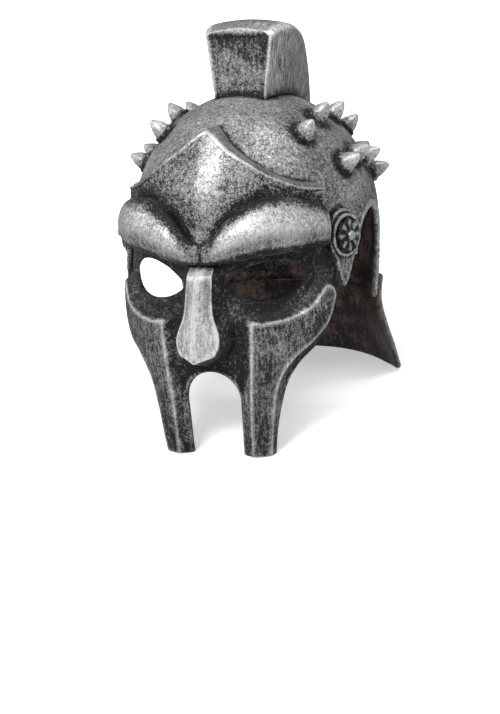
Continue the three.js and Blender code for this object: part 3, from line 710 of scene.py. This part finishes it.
def buildCrest():
    first, last = comb["table"]["around"][0], comb["table"]["around"][-1]
    around = np.concatenate([np.linspace(first, first + 2, 7)[:-1], np.linspace(first + 2, last, 86)])
    at = readTable(comb["table"], "around", around)
    turn = np.where(around < 90, 0.0, math.pi)
    lift = np.radians(np.where(around < 90, around, 180 - around))
    foot = shellPoint(turn, lift, 0)
    up = shellPoint(turn, lift, 1) - foot
    c, s = np.cos(np.radians(at["lean"])), np.sin(np.radians(at["lean"]))
    _, y, z = up.T
    up = np.stack([0 * c, y * c + z * s, z * c - y * s], 1)
    run = np.concatenate([[0], np.cumsum(np.linalg.norm(np.diff(foot + 20 * up, axis=0), axis=1))])
    crown = np.maximum(at["rise"] * comb["rise"], 0.5)
    shoulder = crown - np.minimum(crown * 0.2, comb["wall"])

    def halfAt(height, k):
        taper = comb["half"] + (comb["topHalf"] - comb["half"]) * np.clip(height / comb["rise"], 0, 1)
        return at["width"][k] * taper

    def base(k):
        # height along the station's own line at which the side meets the bowl
        low, high = -12.0, 4.0
        for _ in range(24):
            middle = (low + high) / 2
            p = foot[k] + up[k] * middle
            depth = bowl["front"] if p[1] < 0 else bowl["back"]
            x = halfAt(0, k) / (bowl["width"] + seatGap)
            y, z = p[1] / (depth + seatGap), (p[2] - bowl["brow"]) / (bowl["rise"] + seatGap)
            low, high = (middle, high) if x * x + y * y + z * z < 1 else (low, middle)
        return (low + high) / 2

    sideLevels, topLevels = 26, np.linspace(1, -1, 21)
    profile = []
    for k in range(len(around)):
        bottom = base(k)
        h = bottom + (shoulder[k] - bottom) * np.linspace(0, 1, sideLevels)
        x = halfAt(np.maximum(h, 0), k)
        x = x - comb["frontRound"] * (1 - smooth(run[k], 0.0, 1.0))
        topX = 0.75 * halfAt(crown[k], k)
        roundX, roundH = x[-1] + (topX - x[-1]) * 0.42, shoulder[k] + (crown[k] - shoulder[k]) * 0.7
        left = np.stack([np.append(x, roundX), np.append(h, roundH)], 1)
        camber = comb["camber"] * min(1, crown[k] / 20)
        top = np.stack([topX * topLevels, crown[k] + camber * (1 - topLevels**2)], 1)
        profile.append(np.vstack([left, top, left[::-1] * [-1, 1]]))
    profile = np.array(profile)
    points = foot[:, None] + up[:, None] * profile[..., 1:2] + np.array([1.0, 0, 0]) * profile[..., :1]
    wave = 0.35 * uneven(points, 30, 11)
    points[..., 0] += wave * np.sign(points[..., 0]) * (profile[..., 1] < shoulder[:, None])
    rows, columns = points.shape[:2]
    faces = gridFaces(rows, columns)
    vertices = [points.reshape(-1, 3)]
    brush = np.stack(np.broadcast_arrays(run[:, None], profile[..., 1]), -1)
    onTop = slice(sideLevels + 1, columns - sideLevels - 1)  # brushed along its length
    brush[:, onTop] = np.stack(np.broadcast_arrays(profile[:, onTop, 0], run[:, None]), -1)
    strokes = [brush.reshape(-1, 2)]
    frontLine = softLine(run[:, None], 0.9) * np.ones(columns)
    fromFoot = profile[..., 1] - profile[:, :1, 1]
    fromFront = smooth(run[:, None], 4, 26)
    tones = [(0.3 * frontLine + 0.3 * (1 - fromFront) - 0.3 * (1 - smooth(fromFoot, 1, 9))).ravel()]
    calm = np.full((rows, columns), 0.6)
    calm[:, onTop] = 0.2
    calms = [(calm * (1 - frontLine)).ravel()]

    def cap(k, depth):
        # rows join the two sides at each level, and the last row is the top's own edge
        levels = sideLevels + 1
        start = sum(len(v) for v in vertices)
        left, top, right = points[k, :levels], points[k, levels:-levels], points[k, -levels:][::-1]
        share = (1 - topLevels[:, None]) / 2
        grid = np.array([left[i] + (right[i] - left[i]) * share for i in range(levels)] + [top])
        ahead = np.cross([1.0, 0, 0], up[k])
        h, x = (grid - foot[k]) @ up[k], np.abs(grid[..., 0])
        fromSide = halfAt(np.maximum(h, 0), k) - x
        fromFrame = np.minimum(fromSide - 1.2, crown[k] - h - 0.6)
        grid = grid - ahead * (depth * smooth(fromFrame, 0, 2.0))[..., None]
        vertices.append(grid.reshape(-1, 3))
        strokes.append(np.stack([grid[..., 0] + 90, h], -1).reshape(-1, 2))
        share = np.clip(h / crown[k], 0, 1)
        frame = 1 - smooth(fromFrame, -0.4, 0.9)
        panelShade = smooth(share + grid[..., 0] / 110, 0.5, 0.72)  # painted shade in the upper part of the recessed panel
        tones.append((0.36 * frame - (0.42 * panelShade + 0.02) * (1 - frame)).ravel())
        calms.append((0.45 * panelShade).ravel())
        return gridFaces(levels + 1, len(topLevels), start)

    faces += cap(0, comb["frontInset"]) + cap(len(around) - 1, 0.0)
    vertices = np.concatenate(vertices)
    # the caps share the sides' points
    _, once, back = np.unique(np.round(vertices, 3), axis=0, return_index=True, return_inverse=True)
    back = back.ravel()
    faces = [tuple(dict.fromkeys(int(back[i]) for i in f)) for f in faces]
    sheet = {
        "points": toFloor(vertices[once]),
        "faces": [f for f in faces if len(f) > 2],
        "inner": np.zeros(len(once)),
        "strokes": np.concatenate(strokes)[once],
        "tone": np.concatenate(tones)[once],
        "calm": np.concatenate(calms)[once],
    }
    addPiece("crestComb", [sheet], "shell", "crest", sharp=34, soften=5)
    print("crest", len(sheet["points"]))


# Neck guard: laps over the nape, flares out, with two ribs and a rolled rim, down to the floor
neck = {
    "top": 96.0,
    "drop": 66.0,
    "flare": 24.0,
    "halfWidth": 80.0,
    "ribs": (0.42, 0.56),
    "table": {
        "down": [0, 0.2, 0.36, 0.58, 0.79, 1.06],
        "out": [0, 0.01, 0.12, 0.4, 0.72, 1.08],
        "spread": [60, 59, 57, 54, 50, 46],  # degrees round from the back
    },
}


def buildNeckGuard():
    def placeAt(down, share, extra):
        height = neck["top"] - down * neck["drop"]
        row = readTable(neck["table"], "down", down)
        turn = math.pi - share * np.radians(row["spread"])
        out = seatGap + row["out"] * neck["flare"] + extra
        return shellPoint(turn, liftAt(height), out)

    shares = np.linspace(-1, 1, 91)
    slope = math.tan(stand["lean"])

    def lowest(extra):
        # how far down each line meets the floor
        low, high = np.full(shares.shape, 0.7), np.full(shares.shape, neck["table"]["down"][-1])
        for _ in range(24):
            middle = (low + high) / 2
            p = placeAt(middle, shares, extra)
            over = p[:, 2] > slope * (p[:, 1] + stand["frontReach"])
            low, high = np.where(over, middle, low), np.where(over, high, middle)
        return (low + high) / 2

    rows = np.linspace(0, 1, 50)[:, None]
    length = math.hypot(neck["drop"], neck["flare"])
    down = rows * lowest(wall)
    fromSide = (1 - np.abs(shares)) * neck["halfWidth"]
    gap = np.minimum((1 - rows) * length, fromSide)
    bead = 1.2 * band(gap, (0, 1.4), (3.2, 5))
    ribs = sum(0.9 * softLine((rows - at) * length, 1.5) for at in neck["ribs"])
    ribs = ribs * smooth(fromSide, 6, 10)
    corner = 0.8 * (1 - smooth(fromSide, 0, 1.2)) + 0.8 * (1 - smooth(rows * length, 0, 1.2))
    outer = placeAt(down, shares, wall + bead + ribs - corner)
    inner = placeAt(rows * lowest(0.0), shares, 0.0)
    strokes = np.stack(np.broadcast_arrays(shares * 90, rows * length), -1)
    sheet = gridSheet(outer, inner, strokes, 0.35 * band(gap, (0.6, 1.6), (2.6, 4.5)))
    addPiece("neckFlare", [sheet], "dark_shell", "neck", soften=9)
    print("neck guard", len(sheet["points"]))


# Temple plates and rosettes
temple = {
    "across": 103.3,
    "height": 137.0,
    "radius": 16.5,
    "tongue": 33.0,
    "pad": 14.0,
    "padProud": 2.0,
    "padSteps": 56,
    "spacing": 1.6,
}
rosette = {"radius": 11.0, "thick": 2.0, "knob": 3.4, "petals": 8, "steps": 96}


def templeSeat(side, out):
    turn, lift = side * temple["across"] / bowl["front"], liftAt(temple["height"])
    seat, above = shellPoint(turn, lift, out), shellPoint(turn, lift, out + 1)
    return seat, above - seat


def buildTemple(side, hand):
    middle, r = temple["across"], temple["radius"]
    turns = np.linspace(-0.22, 1.22, 30) * math.pi
    ring = [(r * math.cos(t), r * math.sin(t)) for t in turns]
    ring += [(x * r, -y * temple["tongue"]) for x, y in ((-0.42, 0.86), (-0.16, 1), (0.1, 0.86))]
    outline = np.array([(side * (middle + x), temple["height"] + z) for x, z in ring])

    def rise(u, v, gap):
        return seatGap + wall + band(gap, (0.1, 1.2), (2.2, 3.4))

    plate = cutSheet(outline, [], [], temple["spacing"], facePoint, rise, rim=0.7)
    seat, normal = templeSeat(side, seatGap)
    pad, top = temple["pad"], wall + temple["padProud"]
    profile = [(pad, wall * 0.4), (pad, top - 0.6), (pad - 0.3, top), (pad - 0.9, top + 0.3)]
    profile += [(pad - 1.7, top + 0.3), (pad - 2.3, top), (pad - 2.8, top - 0.7), (4, top - 0.7)]
    dish = lathe(profile, seat, normal, temple["padSteps"])
    dish["tone"] = np.repeat([-0.4, -0.1, 0.2, 0.35, 0.35, 0.1, -0.7, -0.9], temple["padSteps"])
    addPiece("templePlate_" + hand, [plate, dish], "shell", "plate", sharp=34, soften=5)
    seat, normal = templeSeat(side, 2 * seatGap + wall + temple["padProud"])
    rim, knob = rosette["radius"], rosette["knob"]
    petals, steps = rosette["petals"], rosette["steps"]
    radii = rim * np.append([1, 1, 0.985], np.linspace(0.93, 0.36, 12))
    lift = np.append([0, 0.4, 0.8], np.ones(12))
    profile = np.stack([radii, lift * rosette["thick"] * 0.75], 1)

    def petal(radius, turn, height):
        lobe = np.abs(np.cos(petals * turn / 2))
        out = radius / rim
        radius = radius * (1 - (1 - (0.84 + 0.16 * lobe)) * smooth(out, 0.5, 1))
        vein = 0.25 * softLine(np.sin(petals * turn / 2), 0.16) * smooth(out, 0.5, 0.7)
        swell = 0.7 * (lobe**0.5 - 0.75) * smooth(out, 0.3, 0.6) + 0.35 * np.sin(out * math.pi) - vein
        return radius, height + swell * (height > 1)

    flower = lathe(profile, seat, normal, steps, petal)
    lobe = np.abs(np.cos(petals * np.arange(steps) / steps * math.pi))
    petalLine = band(radii / rim, (0.36, 0.5), (0.86, 0.95))
    flower["tone"] = (0.75 * petalLine[:, None] * lobe**2.6 - 0.12).ravel()
    turns = np.linspace(0, math.pi / 2, 8)[:-1]
    knobLine = [(knob + 0.5, 0.9), (knob + 0.5, 2.1)]
    knobLine += [(knob * math.cos(t), 2.2 + knob * 0.9 * math.sin(t)) for t in turns]
    button = lathe(knobLine + [(0.3, 2.2 + knob * 0.9)], seat, normal)
    button["tone"] = np.full(len(button["points"]), 0.6)
    addPiece("rosette" + hand.capitalize(), [flower, button], "dark_shell", "rosette", soften=4)


# Studs
stud = {
    "radius": 7.5,
    "height": 13.0,
    # where the dark ring round each stud fades, from its edge
    "baseShade": (-1.5, 6.5),
    "profile": [  # shares of the radius and height, from the skirt up
        *((1, -0.12), (1, 0.1), (0.97, 0.15), (0.86, 0.19), (0.79, 0.23), (0.76, 0.3), (0.72, 0.4)),
        *((0.64, 0.52), (0.53, 0.65), (0.4, 0.78), (0.26, 0.9), (0.15, 0.965), (0.06, 1)),
    ],
    # name, degrees out from the middle, first and last degrees back from the top, count
    "rows": [("upper", 37, -27, 58, 5), ("lower", 60, -22, 50, 4)],
}


def studSeats(side):
    seats = []
    for label, out, first, last, count in stud["rows"]:
        for i in range(count):
            along, tilt = math.radians(first + (last - first) * i / (count - 1)), math.radians(out)
            across, above = math.sin(tilt), math.cos(tilt)
            way = np.array([across, above * math.sin(along), above * math.cos(along)])
            axes = np.array([bowl["width"], bowl["front"] if along < 0 else bowl["back"], bowl["rise"]])
            normal = way / axes / np.linalg.norm(way / axes)
            seat = way * axes + [0, 0, bowl["brow"]]
            flip = [side, 1, 1]
            seats.append((f"{label}_{i + 1}", seat * flip, normal * flip))
    return seats


def buildStuds(side, hand):
    shares = np.array(stud["profile"])
    for k, (label, seat, normal) in enumerate(studSeats(side)):
        lump = np.random.default_rng(100 + 10 * k + (side > 0)).uniform(-0.03, 0.03, 2)

        def shape(radius, turn, height):
            return radius * (1 + lump[0] * np.cos(turn + k) + lump[1] * np.cos(2 * turn)), height

        profile = shares * [stud["radius"], stud["height"]]
        body = lathe(profile, seat + normal * seatGap, normal, 30, shape)
        up = np.repeat(shares[:, 1], 30)
        body["tone"] = 0.3 * smooth(up, 0.25, 0.8) - 0.75 * (1 - smooth(up, 0.02, 0.34))
        addPiece(f"stud_{hand}_{label}_cone", [body], "studs", "stud", soften=3)


buildFaceGuard()
buildBowl()
buildFrontlet()
buildCrest()
buildNeckGuard()
for side, hand in ((1, "left"), (-1, "right")):
    buildTemple(side, hand)
    buildStuds(side, hand)
    print("temple and studs", hand)


# Wear and shade: where paint catches on ridges, and how enclosed each point is, which darkens corners as
# black wash and painted shade
wearAndShade = {"rays": 14, "reach": 0.012, "start": 0.0003, "blur": 0.6}


def addWearAndShade():
    start, points, polygons = 0, [], []
    for piece in pieces:
        points.append(piece["points"])
        polygons += [tuple(i + start for i in f) for f in piece["faces"]]
        start += len(piece["points"])
    tree = BVHTree.FromPolygons([Vector(p) for p in np.concatenate(points)], polygons)
    rays, far, blur = wearAndShade["rays"], wearAndShade["reach"], wearAndShade["blur"]
    level = 1 - (np.arange(rays) + 0.5) / rays * 0.92
    turns = math.pi * (3 - math.sqrt(5)) * np.arange(rays)
    around = np.sqrt(1 - level**2)
    local = np.stack([around * np.cos(turns), around * np.sin(turns), level], 1)
    for piece in pieces:
        p = piece["points"]
        normals = np.zeros_like(p)
        pairs = []
        for f in piece["faces"]:
            f = list(f)
            for a, b, c in zip(f, f[1:] + f[:1], f[2:] + f[:2]):
                normals[b] += np.cross(p[b] - p[a], p[c] - p[b]) if len(f) < 9 else 0
            pairs += [(a, b) for a, b in zip(f, f[1:] + f[:1])]
        length = np.linalg.norm(normals, axis=1, keepdims=True)
        normals /= np.where(length > 0, length, 1)
        near, other = np.concatenate([pairs, np.array(pairs)[:, ::-1]]).T
        count = np.bincount(near, minlength=len(p)).reshape(-1, 1)
        soft = p.copy()
        ridges = np.zeros(len(p))
        for step in range(piece["soften"]):
            total = np.stack([np.bincount(near, soft[other, k], len(p)) for k in range(3)], 1)
            soft = (1 - blur) * soft + blur * total / np.maximum(count, 1)
            if step in (piece["soften"] // 3, piece["soften"] - 1):
                ridges += np.einsum("ij,ij->i", p - soft, normals) * 1000
        piece["ridge"] = ridges
        # how enclosed each point is, from rays that hit something nearby: black wash and painted shade
        washAndShade = np.zeros(len(p))
        for i in np.nonzero(piece["inner"] < 0.5)[0]:
            n = Vector(normals[i])
            if n.length < 0.5:
                continue
            turn = n.to_track_quat("Z", "Y")
            origin = Vector(p[i]) + n * wearAndShade["start"]
            for way in local:
                hit = tree.ray_cast(origin, turn @ Vector(way), far)
                if hit[0] is not None:
                    washAndShade[i] += (1 - hit[3] / far) / rays
        piece["washAndShade"] = washAndShade
    print("wearAndShade")


addWearAndShade()


# Materials
class Wire:
    def __init__(self, tree, socket):
        self.tree, self.socket = tree, socket

    def maths(self, operation, first, second):
        return node(self.tree, "Math", {"operation": operation}, first, second)

    def __add__(self, other):
        return self.maths("ADD", self, other)

    def __sub__(self, other):
        return self.maths("SUBTRACT", self, other)

    def __rsub__(self, other):
        return self.maths("SUBTRACT", other, self)

    def __mul__(self, other):
        return self.maths("MULTIPLY", self, other)

    __radd__, __rmul__ = __add__, __mul__

    def between(self, low, high):
        # 0 at low, 1 at high, eased
        return node(self.tree, "MapRange", {"interpolation_type": "SMOOTHSTEP"}, self, low, high)


def put(tree, slot, given):
    if isinstance(given, Wire):
        tree.links.new(given.socket, slot)
    else:
        slot.default_value = given


def node(tree, kind, settings, *inputs, output=0, **named):
    # settings first, then the sockets, in their order or by name
    made = tree.nodes.new("ShaderNode" + kind)
    for name, setting in settings.items():
        setattr(made, name, setting)
    slots = {slot.identifier: slot for slot in made.inputs}
    for slot, given in zip(made.inputs, inputs):
        put(tree, slot, given)
    for name, given in named.items():
        put(tree, slots[name], given)
    return Wire(tree, made.outputs[output])


def mix(tree, share, a, b):
    given = {"Factor_Float": share, "A_Color": a, "B_Color": b}
    return node(tree, "Mix", {"data_type": "RGBA"}, output=2, **given)


marks = ("ridge", "washAndShade", "inner", "tone", "calm")
looks = {
    "mask": dict(cover=0.355, streak=0.58, grain=0.42, ridge=0.8, silver=0.28, tint=(0.98, 1, 1.02)),
    "dome": dict(cover=0.5, streak=0.08, grain=0.85, ridge=0.7, silver=0.27, tint=(1.01, 1, 0.96)),
    "brow": dict(cover=0.52, streak=0.17, grain=0.85, ridge=0.6, silver=0.33, tint=(0.99, 1, 1.01)),
    "crest": dict(cover=0.55, streak=0.56, grain=0.75, ridge=0.7, silver=0.28, tint=(1.02, 1, 0.95)),
    "neck": dict(cover=0.22, streak=0.36, grain=0.6, ridge=0.7, silver=0.16, tint=(1.08, 1, 0.92)),
    "plate": dict(cover=0.46, streak=0.16, grain=0.7, ridge=0.5, silver=0.3, tint=(1, 1, 1)),
    "rosette": dict(cover=0.12, streak=0.1, grain=0.4, ridge=0.9, silver=0.36, tint=(1, 1, 1)),
    "stud": dict(cover=0.66, streak=0.3, grain=0.7, ridge=0.25, silver=0.38, tint=(0.99, 1, 1.02)),
}
noises = {  # scale, detail and roughness
    "fine": (1150.0, 2.0, 0.6),
    "coarse": (430.0, 2.0, 0.55),
    "blotch": (48.0, 3.0, 0.55),
    "patch": (17.0, 2.0, 0.5),
}
colours = {
    "black": (0.007, 0.007, 0.0075, 1),
    # near-white for the painted highlights
    "highlightWhite": (0.8, 0.81, 0.82, 1),
    "lining": (0.01, 0.007, 0.006, 1),
    "liningMottle": (0.085, 0.06, 0.05, 1),
}


def paint(name, look):
    # black base with silver dry-brushed over it: more on ridges, less in corners where black wash and
    # painted shade darken it, bare inside, and painted highlights in near-white where the cover runs
    # high
    material = bpy.data.materials.new(name)
    material.use_nodes = True
    tree = material.node_tree
    surface = tree.nodes["Principled BSDF"]

    def attribute(label, output):
        return node(tree, "Attribute", {"attribute_name": label}, output=output)

    def noise(at, scale, detail, roughness):
        return node(tree, "TexNoise", {}, at, Scale=scale, Detail=detail, Roughness=roughness)

    place = node(tree, "TexCoord", {}, output=3)
    strokes = attribute("strokes", 1)
    ridge, washAndShade, inner, tone, calm = (attribute(label, 2) for label in marks)
    # brush strokes: noise drawn out along them and bent a little
    scaled = node(tree, "VectorMath", {"operation": "MULTIPLY"}, strokes, (0.8, 0.09, 1.0))
    warp = node(tree, "TexNoise", {}, place, Scale=60.0, Detail=2.0, output=1)
    warp = node(tree, "VectorMath", {"operation": "MULTIPLY"}, warp, (1.6, 1.6, 0.0))
    scaled = node(tree, "VectorMath", {"operation": "ADD"}, scaled, warp)
    brush = noise(scaled, 1.0, 3.0, 0.6)
    fine, coarse, blotch, patch = (noise(place, *noises[k]) for k in noises)
    lift = (ridge * look["ridge"]).between(0.06, 0.8)
    dent = (ridge * -look["ridge"]).between(0.06, 0.7)
    # black wash and painted shade: less silver where the point is enclosed
    corner = washAndShade.between(0.04, 0.36)
    speckle = (fine - 0.5) * 2.6 + (coarse - 0.5) * 1.7
    rough = 1 - 0.85 * calm
    streak = (brush - 0.5) * (2.2 * look["streak"]) * (1 + 1.6 * calm)
    cover = look["cover"] + tone + 0.42 * lift - 0.45 * dent - 0.8 * corner
    cover = cover + streak + 0.6 * (blotch - 0.5) + 0.7 * (patch - 0.5) - 0.7 * inner
    cover = cover + speckle * look["grain"] * rough
    dust = (fine * 0.6 + coarse * 0.4 + blotch * 0.4).between(0.71, 0.9) * 0.55
    mask = cover.between(0.1, 0.9) * (1 - dust) + dust * (1 - 0.8 * inner)
    # painted highlight: near-white where the silver cover runs high
    paintedHighlight = cover.between(0.75, 1.5)
    silver = (*(look["silver"] * t for t in look["tint"]), 1)
    mottle = (blotch * 0.55 + coarse * 0.3 + brush * 0.35).between(0.54, 0.72)
    lining = mix(tree, mottle, colours["lining"], colours["liningMottle"])
    under = mix(tree, inner, colours["black"], lining)
    colour = mix(tree, mask, under, silver)
    colour = mix(tree, paintedHighlight * 0.85, colour, colours["highlightWhite"])
    surface.inputs["Specular IOR Level"].default_value = 0.3
    put(tree, surface.inputs["Base Color"], colour)
    put(tree, surface.inputs["Metallic"], mask * 0.45)
    put(tree, surface.inputs["Roughness"], 0.56 - 0.14 * mask + 0.16 * (fine - 0.5))
    relief = fine * 0.5 + coarse * 0.4 + brush * 0.4
    bump = node(tree, "Bump", {}, Strength=0.3, Distance=0.0004, Height=relief)
    put(tree, surface.inputs["Normal"], bump)
    return material


def makeObjects():
    nodeNames = {
        "faceGuard": "face_guard",
        "bowlShell": "bowl",
        "frontletPlate": "frontlet",
        "crestComb": "crest",
        "neckFlare": "neck_guard",
        "templePlate_left": "temple_plate_left",
        "templePlate_right": "temple_plate_right",
        "rosetteLeft": "rosette_left",
        "rosetteRight": "rosette_right",
    }
    materials = {name: paint(name + "_paint", look) for name, look in looks.items()}
    for piece in pieces:
        mesh = bpy.data.meshes.new(piece["name"])
        mesh.from_pydata([tuple(p) for p in piece["points"]], [], piece["faces"])
        mesh.update()
        for label in marks:
            layer = mesh.attributes.new(label, "FLOAT", "POINT")
            layer.data.foreach_set("value", piece[label].astype(np.float32))
        strokes = np.concatenate([piece["strokes"], np.zeros((len(piece["points"]), 1))], 1)
        layer = mesh.attributes.new("strokes", "FLOAT_VECTOR", "POINT")
        layer.data.foreach_set("vector", strokes.astype(np.float32).ravel())
        mesh.polygons.foreach_set("use_smooth", [True] * len(mesh.polygons))
        mesh.set_sharp_from_angle(angle=math.radians(piece["sharp"]))
        obj = bpy.data.objects.new(piece["name"], mesh)
        bpy.context.scene.collection.objects.link(obj)
        mesh.materials.append(materials[piece["look"]])
        if piece["name"] == "crestComb":
            solid = obj.modifiers.new("wall", "SOLIDIFY")
            solid.thickness, solid.offset = comb["wall"] / 1000, -1
        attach(obj, "root")
        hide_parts(nodeNames.get(piece["name"], piece["name"].removesuffix("_cone")))
    print("objects", len(pieces))


makeObjects()


# Stage: a white floor under a white dome that lights nothing
room = {"paint": 0.9, "floorGlow": 1.0, "domeGlow": 1.2, "radius": 9.0, "sky": 0.32, "shade": 0.45}
lamps = {
    "key": {"at": (-0.1, -1.4, 1.55), "size": (0.7, 0.5), "power": 32},
    "side": {"at": (-1.5, -0.3, 0.9), "size": (0.4, 0.9), "power": 5},
    "top": {"at": (0.6, 0.3, 1.7), "size": (0.7, 0.5), "power": 11},
}


def grey(level):
    return level, level, level, 1


def buildStage():
    def surfaceOf(name, strength):
        material = bpy.data.materials.new(name)
        material.use_nodes = True
        surface = material.node_tree.nodes["Principled BSDF"]
        surface.inputs["Base Color"].default_value = grey(room["paint"])
        surface.inputs["Roughness"].default_value = 1.0
        surface.inputs["Specular IOR Level"].default_value = 0.0
        surface.inputs["Emission Color"].default_value = grey(1)
        surface.inputs["Emission Strength"].default_value = strength
        return material, surface

    paper, surface = surfaceOf("paper", room["floorGlow"])
    tree = paper.node_tree
    place = node(tree, "TexCoord", {}, output=3)
    away = node(tree, "VectorMath", {"operation": "LENGTH"}, place, output=1)
    glow = mix(tree, away.between(0.1, 0.6), grey(room["shade"]), grey(1))
    put(tree, surface.inputs["Emission Color"], glow)
    backing, _ = surfaceOf("backing", room["domeGlow"])
    turns = np.linspace(0, 2 * math.pi, 65)[:-1]
    n, far = len(turns), room["radius"]
    arc = np.linspace(0, 1.5, 9)
    stages = (
        ("floor", paper, [(0.3, 0), (0.8, 0), (2.0, 0), (5.0, 0), (far, 0)]),
        ("dome", backing, [(far * math.cos(t), far * math.sin(t) - 0.02) for t in arc]),
    )
    for name, material, rings in stages:
        points = [(r * math.cos(t), r * math.sin(t), z) for r, z in rings for t in turns]
        faces = gridFaces(len(rings), n)
        faces += [((r + 1) * n - 1, r * n, (r + 1) * n, (r + 2) * n - 1) for r in range(len(rings) - 1)]
        end = 0 if name == "floor" else len(points) - n
        faces.append(tuple(end + c for c in range(n)))
        mesh = bpy.data.meshes.new(name)
        mesh.from_pydata(points, [], [tuple(int(i) for i in f) for f in faces])
        mesh.materials.append(material)
        stage = bpy.data.objects.new(name, mesh)
        bpy.context.scene.collection.objects.link(stage)
        if name == "dome":
            stage.visible_diffuse = stage.visible_glossy = stage.visible_shadow = False
        else:
            stage.visible_glossy = False
    world = bpy.data.worlds.new("room")
    bpy.context.scene.world = world
    world.use_nodes = True
    world.node_tree.nodes["Background"].inputs["Color"].default_value = grey(1)
    world.node_tree.nodes["Background"].inputs["Strength"].default_value = room["sky"]
    print("stage")


def addLamp(name, lamp):
    light = bpy.data.lights.new(name, "AREA")
    light.shape, light.energy = "RECTANGLE", lamp["power"]
    light.size, light.size_y = lamp["size"]
    obj = bpy.data.objects.new(name, light)
    obj.location = lamp["at"]
    aim = Vector((0, 0, 0.14)) - obj.location
    obj.rotation_euler = aim.to_track_quat("-Z", "Y").to_euler()
    bpy.context.scene.collection.objects.link(obj)


# The photograph's camera, fitted to the helmet as it is worn, in millimetres, degrees and pixels
shot = {
    "target": (0, 0, 120),
    "distance": 1400,
    "yaw": 21.0,
    "rise": 9.4,
    "roll": -2.5,
    "focal": 2090,
    "aim": (8, 109),  # where the target falls, from the middle of the picture
    "pictureHeight": 714,
}


def addCamera():
    # leant back with the helmet
    s, c = math.sin(math.radians(shot["yaw"])), math.cos(math.radians(shot["yaw"]))
    se, ce = math.sin(math.radians(shot["rise"])), math.cos(math.radians(shot["rise"]))
    right, up, back = Vector((c, s, 0)), Vector((-s * se, c * se, ce)), Vector((s * ce, -c * ce, se))
    s, c = math.sin(math.radians(shot["roll"])), math.cos(math.radians(shot["roll"]))
    right, up = right * c + up * s, up * c - right * s
    place = Vector(shot["target"]) + back * shot["distance"]
    worn = Matrix((right, up, back)).transposed().to_4x4()
    worn.translation = place
    lean = Matrix.Translation(stand["shift"]) @ Matrix.Rotation(-stand["lean"], 4, "X")
    aimX, aimY = shot["aim"]
    down = Matrix.Rotation(-math.atan(aimY / shot["focal"]), 4, "X")
    left = Matrix.Rotation(math.atan(aimX / shot["focal"]), 4, "Y")
    held = lean @ worn @ down @ left
    held.translation = held.translation / 1000
    data = bpy.data.cameras.new("camera")
    data.lens = shot["focal"] / shot["pictureHeight"] * data.sensor_width
    data.clip_start, data.clip_end = 0.05, 50
    camera = bpy.data.objects.new("camera", data)
    bpy.context.scene.collection.objects.link(camera)
    camera.matrix_world = held
    bpy.context.scene.camera = camera
    print("camera")


buildStage()
for name, lamp in lamps.items():
    addLamp(name, lamp)
addCamera()
bpy.context.scene.view_settings.view_transform = "Standard"
